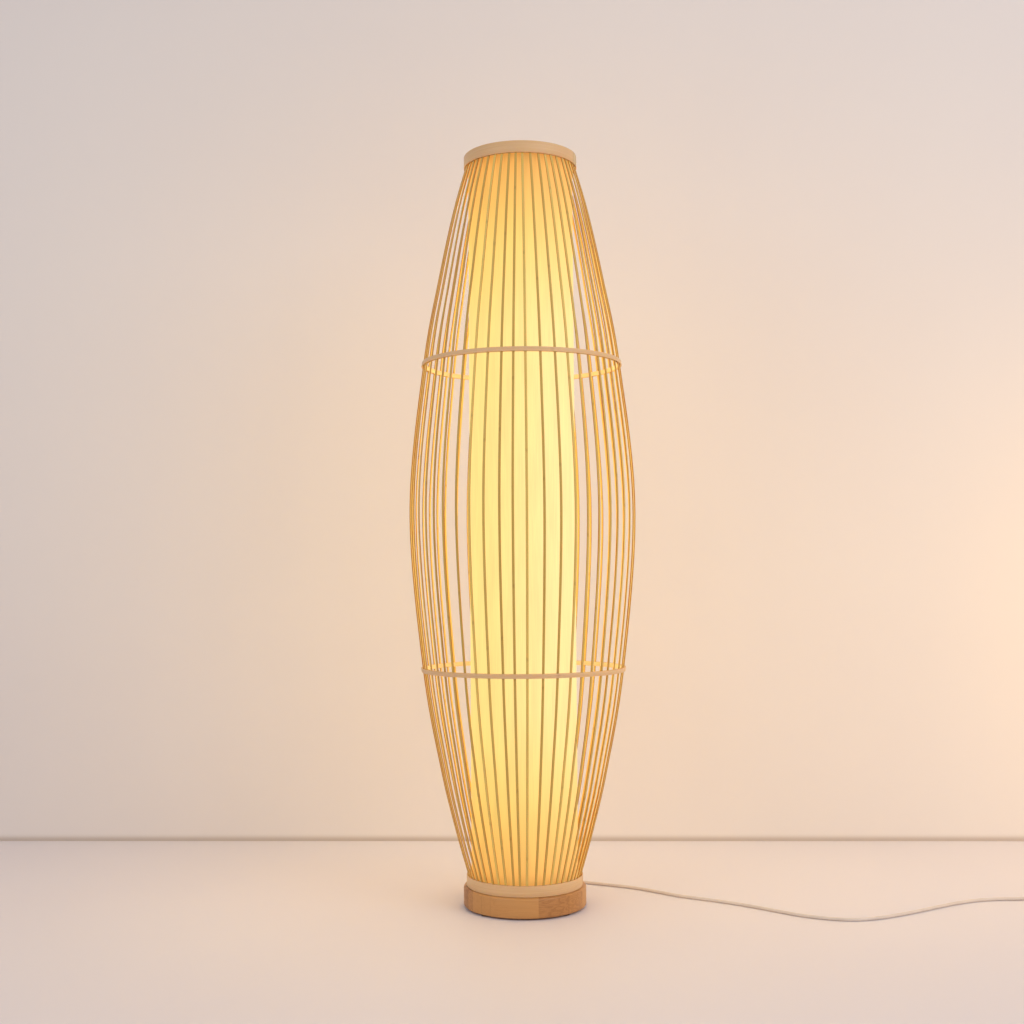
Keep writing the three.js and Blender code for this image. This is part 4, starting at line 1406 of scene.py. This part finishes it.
@dataclass
class FootSwitch:
    """A rounded two-part foot switch with a large button and a sleeve at each end."""

    finishes: Finishes
    length: float = 76.0
    width: float = 44.0
    height: float = 21.0
    x: float = 885.0
    y: float = 7.0
    inlet: float = 6.5
    corner: float = 13.0
    rim: float = 3.0
    well: float = 13.4
    well_depth: float = 8.0
    travel: float = 3.0
    sleeve: float = 15.0
    sleeve_radius: float = 4.6

    def housing(self) -> BMesh:
        """Makes the whole housing, rounded in plan and along its rims.

        Returns:
            The closed mesh.
        """
        bm = block((self.length, self.width, self.height), (self.x, self.y, self.height / 2))
        upright = [edge for edge in bm.edges if abs(edge.verts[0].co.z - edge.verts[1].co.z) > 0.01]
        bevel(bm, upright, self.corner, 10)
        rims = [edge for edge in bm.edges if edge.calc_face_angle() > math.radians(60)]
        return bevel(bm, rims, self.rim, 5)

    def half(self, keep_upper: bool) -> BMesh:
        """Makes one shell, cut from the housing at the height of the flex.

        Args:
            keep_upper: Whether the upper shell is kept.

        Returns:
            The closed shell.
        """
        bm = self.housing()
        cut = (self.inlet + (GAP / 2 if keep_upper else -GAP / 2)) * MM
        made = bmesh.ops.bisect_plane(bm, geom=[*bm.verts, *bm.edges, *bm.faces], dist=1e-7,
                                      plane_co=(0, 0, cut), plane_no=(0, 0, 1), clear_outer=not keep_upper,
                                      clear_inner=keep_upper)
        rim = [part for part in made["geom_cut"] if isinstance(part, BMEdge)]
        bmesh.ops.contextual_create(bm, geom=rim)
        bmesh.ops.recalc_face_normals(bm, faces=bm.faces)
        return bm

    def build(self) -> tuple[list[bpy.types.Object], bpy.types.Object]:
        """Builds the shells, the button and the sleeves.

        Returns:
            The pieces at the end of the first stretch of the flex, and the sleeve that the second leaves.
        """
        plastic = self.finishes.plastic
        lower = piece("switch_tray", self.half(False), Body.BASE, plastic, ["switch_lower_shell"])
        upper = piece("switch_cover", self.half(True), Body.BASE, plastic, ["switch_upper_shell"])
        floor, above = self.height - self.well_depth, 40
        carve(upper, lathe([(0, floor), (self.well, floor), (self.well, above), (0, above)], 64,
                           at=(self.x, self.y, 0)))
        edge, foot, top = self.well - 0.5, floor + self.travel + GAP, self.height
        dome = [(0, foot), (edge, foot), (edge, top + 2), (edge - 0.8, top + 3.4), (edge - 2.2, top + 4.2),
                (edge - 3.2, top + 4.3), (edge - 3.8, top + 3.7), (edge - 4.6, top + 3.7), (edge - 5.2, top + 4.3),
                (4, top + 4.75), (0, top + 4.8)]
        button = soften(lathe(dome, 64, at=(self.x, self.y, 0)), 0.3, sharper=35)
        cap = piece("switch_press", button, Body.BUTTON, plastic, ["switch_button"])
        sleeves = []
        for end, side, axis in (("inlet", -1, Axis.LEFT), ("outlet", 1, Axis.RIGHT)):
            at = (self.x + side * (self.length / 2 + GAP), self.y, self.inlet)
            profile = [(0, 0), (self.sleeve_radius, 0)]
            for ring in range(3):
                profile += groove(2.2 + ring * 4, self.sleeve_radius - 0.08 * (2 + ring * 4), wide=1.2)
            profile += [(3.4, self.sleeve), (0, self.sleeve)]
            sleeve = soften(lathe(profile, 32, at=at, axis=axis), 0.2)
            sleeves.append(piece(f"switch_{end}_relief", sleeve, Body.BASE, self.finishes.flex,
                                 [f"switch_{end}_sleeve"]))
        return [lower, upper, cap, sleeves[0]], sleeves[1]


@dataclass
class Plug:
    """A flat moulded plug with two round pins, which lies pointing back towards the lamp."""

    finishes: Finishes
    x: float = 946.0
    y: float = 75.2
    z: float = 6.8
    width: float = 35.0
    thickness: float = 13.6
    length: float = 36.0
    neck: float = 14.0
    rounding: float = 2.6
    tail: float = 22.0
    tail_thin: float = 3.4  # radius where the flex goes in
    tail_thick: float = 5.0
    pin_spacing: float = 18.6
    pin_length: float = 19.0

    def build(self) -> list[bpy.types.Object]:
        """Builds the ribbed tail, the body and the pins.

        Returns:
            The pieces, for the cord that they are on.
        """
        flex, thin, thick = self.finishes.flex, self.tail_thin, self.tail_thick
        profile: list[Pair] = [(0, 0), (thin, 0)]
        for ring in range(4):
            start = 3 + ring * GROOVE_PITCH
            profile += groove(start, thin + (thick - thin) * start / self.tail, depth=0.7, rise=0.1)
        profile += [(thick, self.tail), (0, self.tail)]
        relief = soften(lathe(profile, 32, at=(self.x, self.y, self.z), axis=Axis.LEFT), 0.2)
        pieces = [piece("plug_relief", relief, Body.BASE, flex, ["plug_tail"])]
        bm = bmesh.new()
        back, half, neck = self.x - self.tail - GAP, self.width / 2, self.neck / 2
        outline = [(0, -neck), (-self.length * 0.45, -half), (-self.length, -half), (-self.length, half),
                   (-self.length * 0.45, half), (0, neck)]
        low = self.z - self.thickness / 2
        face = bm.faces.new([bm.verts.new(Vector((back + x, self.y + y, low)) * MM) for x, y in outline])
        top = bmesh.ops.extrude_face_region(bm, geom=[face])["geom"]
        rise = [part for part in top if isinstance(part, BMVert)]
        bmesh.ops.translate(bm, vec=(0, 0, self.thickness * MM), verts=rise)
        bmesh.ops.recalc_face_normals(bm, faces=bm.faces)
        soften(soften(bm, self.rounding, 4, sharper=20), 1.0, 3)
        pieces.append(piece("plug_grip", bm, Body.BASE, flex, ["plug_body"]))
        for index, side in enumerate((1, -1)):
            at = (back - self.length - GAP, self.y + side * self.pin_spacing / 2, self.z)
            tip = self.pin_length
            pin = lathe([(0, 0), (2, 0), (2, 10), (1.85, 10.2), (1.85, tip - 1.5), (1.2, tip - 0.3), (0, tip)], 24,
                        at=at, axis=Axis.LEFT)
            pieces.append(piece(f"plug_round_pin_{index + 1}", pin, Body.BASE, self.finishes.brass,
                                [f"plug_pin_{index + 1}"]))
        return pieces


@dataclass
class Flex:
    """The flex: out of the base, over the floor to the foot switch, and on into a coil and the plug."""

    finishes: Finishes
    switch: FootSwitch
    plug: Plug
    diameter: float = 5.0
    on_floor: float = 2.6
    coil_middle: float = 55.0
    coil_turns: float = 4.5
    coil_steps: int = 24  # to a turn
    coil_pitch: float = 5.7
    coil_layer: float = 5.6
    coil_centre: Pair = (977.0, 41.0)
    relief_from: float = 80.0
    relief_to: float = 122.0
    relief_height: float = 7.3
    relief_thick: float = 5.0
    relief_thin: float = 3.4  # radius where the flex comes out
    relief_inside: float = 18.0  # how much of it the base holds

    def lead_route(self) -> list[Vector]:
        """Gives the route from the base to the foot switch, as it lies on the floor.

        Returns:
            Its points, in metres.
        """
        tip = self.switch.x - self.switch.length / 2 - self.switch.sleeve - 2 * GAP
        y = self.switch.y
        plan = [(0, 122.3, 7.3), (0, 134, 6.4), (4, 149, 4.2), (15, 161, 2.8), (33, 167), (55, 165), (79, 154),
                (102, 140), (130, 126), (161, 111), (190, 93), (220, 68), (250, 42), (280, 23), (310, 5),
                (338, -15), (365, -37), (391, -60), (417, -82), (444, -98), (471, -108), (502, -110), (534, -101),
                (569, -84), (606, -62), (645, -37), (684, -14), (720, 1), (753, 7), (784, y, 2.8),
                (808, y, 4.6), (tip, y, self.switch.inlet)]
        return [Vector((*point[:2], point[2] if len(point) == 3 else self.on_floor)) * MM for point in plan]

    def coil_point(self, turns: float) -> Vector:
        """Gives a point of the coil, which winds in on the floor and out again one layer up.

        Args:
            turns: Turns from its start.

        Returns:
            The point, in metres.
        """
        half = self.coil_turns / 2
        past = turns - half
        radius = self.coil_middle / 2 + self.coil_pitch * (abs(past) - half / 2)
        climb = smooth(past / 0.5 + 0.5)
        angle = math.tau * turns - math.pi / 2
        x, y = self.coil_centre
        return Vector((x + radius * math.cos(angle), y + radius * math.sin(angle),
                       self.on_floor + self.coil_layer * climb)) * MM

    def tail_route(self) -> list[Vector]:
        """Gives the route from the foot switch through the coil to the plug.

        Returns:
            Its points, in metres.
        """
        steps = round(self.coil_turns * self.coil_steps)
        coil = [self.coil_point(self.coil_turns * i / steps) for i in range(steps + 1)]
        back = Vector((-self.diameter, 0, 0)) * MM
        start, end = coil[0] + back, coil[-1] + back
        out = self.switch.x + self.switch.length / 2 + self.switch.sleeve + 2 * GAP
        y, inlet = self.switch.y, self.switch.inlet
        link = [Vector((out, y, inlet)) * MM, Vector((out + 7, y, inlet - 0.5)) * MM,
                Vector(((out + start.x / MM) / 2, y, 4.5)) * MM, start + Vector((-8, 0, 0.3)) * MM, start]
        height = self.plug.z
        finish = [end, end + Vector((-9, 0, -0.3)) * MM,
                  Vector((end.x / MM - 18, end.y / MM, height + 0.3)) * MM,
                  Vector((self.plug.x + GAP, end.y / MM, height)) * MM]
        return link + coil + finish

    @staticmethod
    def length_of(made: bpy.types.Object) -> float:
        """Gives the length of a curve's only spline, in metres."""
        return round(made.data.splines[0].calc_length(), 3)

    def build(self) -> None:
        thick, thin = self.relief_thick, self.relief_thin
        inside, length = self.relief_inside, self.relief_to - self.relief_from
        profile: list[Pair] = [(0, 0), (thick, 0), (thick, inside)]
        for ring in range(5):
            start = inside + 1.5 + ring * GROOVE_PITCH
            profile += groove(start, thick - (thick - thin) * (start - inside) / (length - inside))
        profile += [(thin, length), (0, length)]
        at = (0, self.relief_from, self.relief_height)
        relief = piece("flex_strain_relief", soften(lathe(profile, 40, at=at, axis=Axis.BACK), 0.2), Body.BASE,
                       self.finishes.flex, ["strain_relief"])
        switch_pieces, outlet = self.switch.build()
        plug_pieces = self.plug.build()
        first, second = self.lead_route(), self.tail_route()
        lead = cord("flex_lead", first, self.diameter, self.finishes.flex, ["flex_to_switch"])
        tail = cord("flex_tail", second, self.diameter, self.finishes.flex,
                    ["flex_to_coil", "flex_coil", "flex_to_plug"])
        self.length_of(lead)
        self.length_of(tail)


@dataclass
class InnerLeads:
    """The lead up the threaded tube and its branch to the lower lamp holder."""

    finishes: Finishes
    thickness: float = 4.0
    into_holder: float = 9.0

    def build(self) -> None:
        """Builds both leads."""
        low = LOWER_HOLDER - GAP - 31
        tip, arm = LOWER_HOLDER + self.into_holder, ARM_REACH
        main = [(0, 79.7, 7.3), (0, 66, 7.2), (0, 46, 6), (0, 28, 4.2), (0, 14, 3), (0, 6, 3.6), (0, 1.4, 6.6),
                (0, 0.2, 11), (0, 0, 20), (0, 0, 60), (0, 0, UPPER_HOLDER - 40),
                (0, 0, UPPER_HOLDER + self.into_holder)]
        branch = [(6.4, 0, low), (14, 0, low), (26, 0, low - 5), (38, 0, low - 3), (arm - 1, 0, low + 8),
                  (arm, 0, low + 22), (arm, 0, tip)]
        for name, points in (("main", main), ("branch", branch)):
            cord(f"{name}_inner_lead", [Vector(point) * MM for point in points], self.thickness,
                 self.finishes.flex, [f"{name}_lead"])


# The studio


@dataclass(frozen=True)
class SoftLight:
    """A soft square light, with its place, its aim and its width in metres."""

    name: str
    place: tuple[float, float, float]
    aim: tuple[float, float, float]
    size: float
    power: float  # in watts
    colour: Colour = (1.0, 0.97, 0.95, 1.0)

    def hang(self) -> None:
        """Adds the light to the scene."""
        light = bpy.data.lights.new(self.name, "AREA")
        light.size, light.energy, light.color = self.size, self.power, self.colour[:3]
        made = bpy.data.objects.new(self.name, light)
        made.location = self.place
        made.rotation_euler = (Vector(self.aim) - Vector(self.place)).to_track_quat("-Z", "Y").to_euler()
        bpy.context.scene.collection.objects.link(made)


@dataclass
class Studio:
    """A plain pale floor and wall, soft light, and the camera in front."""

    distance: float = 2112.0
    eye: float = 524.6
    aside: float = -16.8
    pitch: float = 2.69
    roll: float = 0.37
    lens: float = 46.23
    wall: float = 499.0
    wall_turn: float = 1.85
    size: float = 14.0  # of the floor and of the wall, in metres
    spill_power: float = 2.0
    spill_colour: Colour = (1.0, 0.6, 0.13, 1.0)
    daylight: Colour = (0.97, 1.0, 1.03, 1.0)
    daylight_strength: float = 0.55
    lights: tuple[SoftLight, ...] = (
        SoftLight("key", (2.3, -2.1, 2.2), (0.5, 0.3, 0.8), 1.8, 32),
        SoftLight("fill", (-2.2, -2.0, 1.8), (0, 0, 0.6), 1.6, 11),
        SoftLight("evening", (1.5, -0.1, 0.5), (1.15, 0.52, 0.45), 0.5, 3.0, (1.0, 0.6, 0.12, 1.0)),
    )
    room: bpy.types.Collection = field(default_factory=lambda: bpy.data.collections.new("room"))

    def plane(self, name: str, place: Matrix, finish: StudioPaint) -> None:
        """Adds a plain surface that isn't part of the lamp.

        Args:
            name: Its name.
            place: Where it lies.
            finish: Its paint.
        """
        bm = bmesh.new()
        bmesh.ops.create_grid(bm, x_segments=1, y_segments=1, size=self.size / 2)
        bmesh.ops.transform(bm, matrix=place, verts=bm.verts)
        mesh = bpy.data.meshes.new(name)
        bm.to_mesh(mesh)
        bm.free()
        mesh.materials.append(finish.make())
        made = bpy.data.objects.new(name, mesh)
        bpy.context.scene.collection.objects.link(made)
        self.room.objects.link(made)

    def build(self) -> None:
        """Builds the surfaces, the lights, the world and the camera."""
        scene = bpy.context.scene
        scene.view_settings.view_transform = "Standard"
        self.plane("floor", Matrix.Identity(4),
                   StudioPaint("studio floor", tone(230, 223, 227), tone(227, 219, 223), 0.5))
        upright = (Matrix.Translation((0, self.wall * MM, self.size / 2)) @ turned(-self.wall_turn, "Z")
                   @ turned(90, "X"))
        # the wall's paint carries a painted soft shadow 17 mm tall along its foot
        self.plane("wall", upright, StudioPaint("studio wall", tone(232, 224, 222), tone(229, 220, 218), 0.9,
                                                seen_through=True, painted_foot_shadow=17.0))
        world = bpy.data.worlds.new("soft daylight")
        world.use_nodes = True
        scene.world = world
        background = world.node_tree.nodes["Background"]
        background.inputs[0].default_value = self.daylight
        background.inputs[1].default_value = self.daylight_strength
        # what passes through the cloth is stronger on the floor and the wall than on the slats
        hang_glow("spill", self.spill_power, self.spill_colour, self.room)
        for light in self.lights:
            light.hang()
        data = bpy.data.cameras.new("camera")
        data.lens, data.sensor_width = self.lens, 36.0
        data.clip_start, data.clip_end = 0.05, 60
        camera = bpy.data.objects.new("camera", data)
        scene.collection.objects.link(camera)
        spot = Matrix.Translation(Vector((self.aside, -self.distance, self.eye)) * MM)
        camera.matrix_world = spot @ turned(90 + self.pitch, "X") @ turned(-self.roll, "Z")
        scene.camera = camera


def main() -> None:
    """Builds the studio with its camera, then the lamp from its flex inwards."""
    logging.basicConfig(level=logging.INFO, format="%(message)s")
    finishes = Finishes()
    Studio().build()
    Flex(finishes, FootSwitch(finishes), Plug(finishes)).build()
    InnerLeads(finishes).build()
    Base(finishes).build()
    Stack(finishes).build()
    LampHolder(finishes, "lower", Body.LOWER_BULB, ARM_REACH, LOWER_HOLDER).build()
    LampHolder(finishes, "upper", Body.UPPER_BULB, 0.0, UPPER_HOLDER).build()
    Shade(finishes).build()
    Cage(finishes).build()
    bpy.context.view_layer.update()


if __name__ == "__main__":
    main()
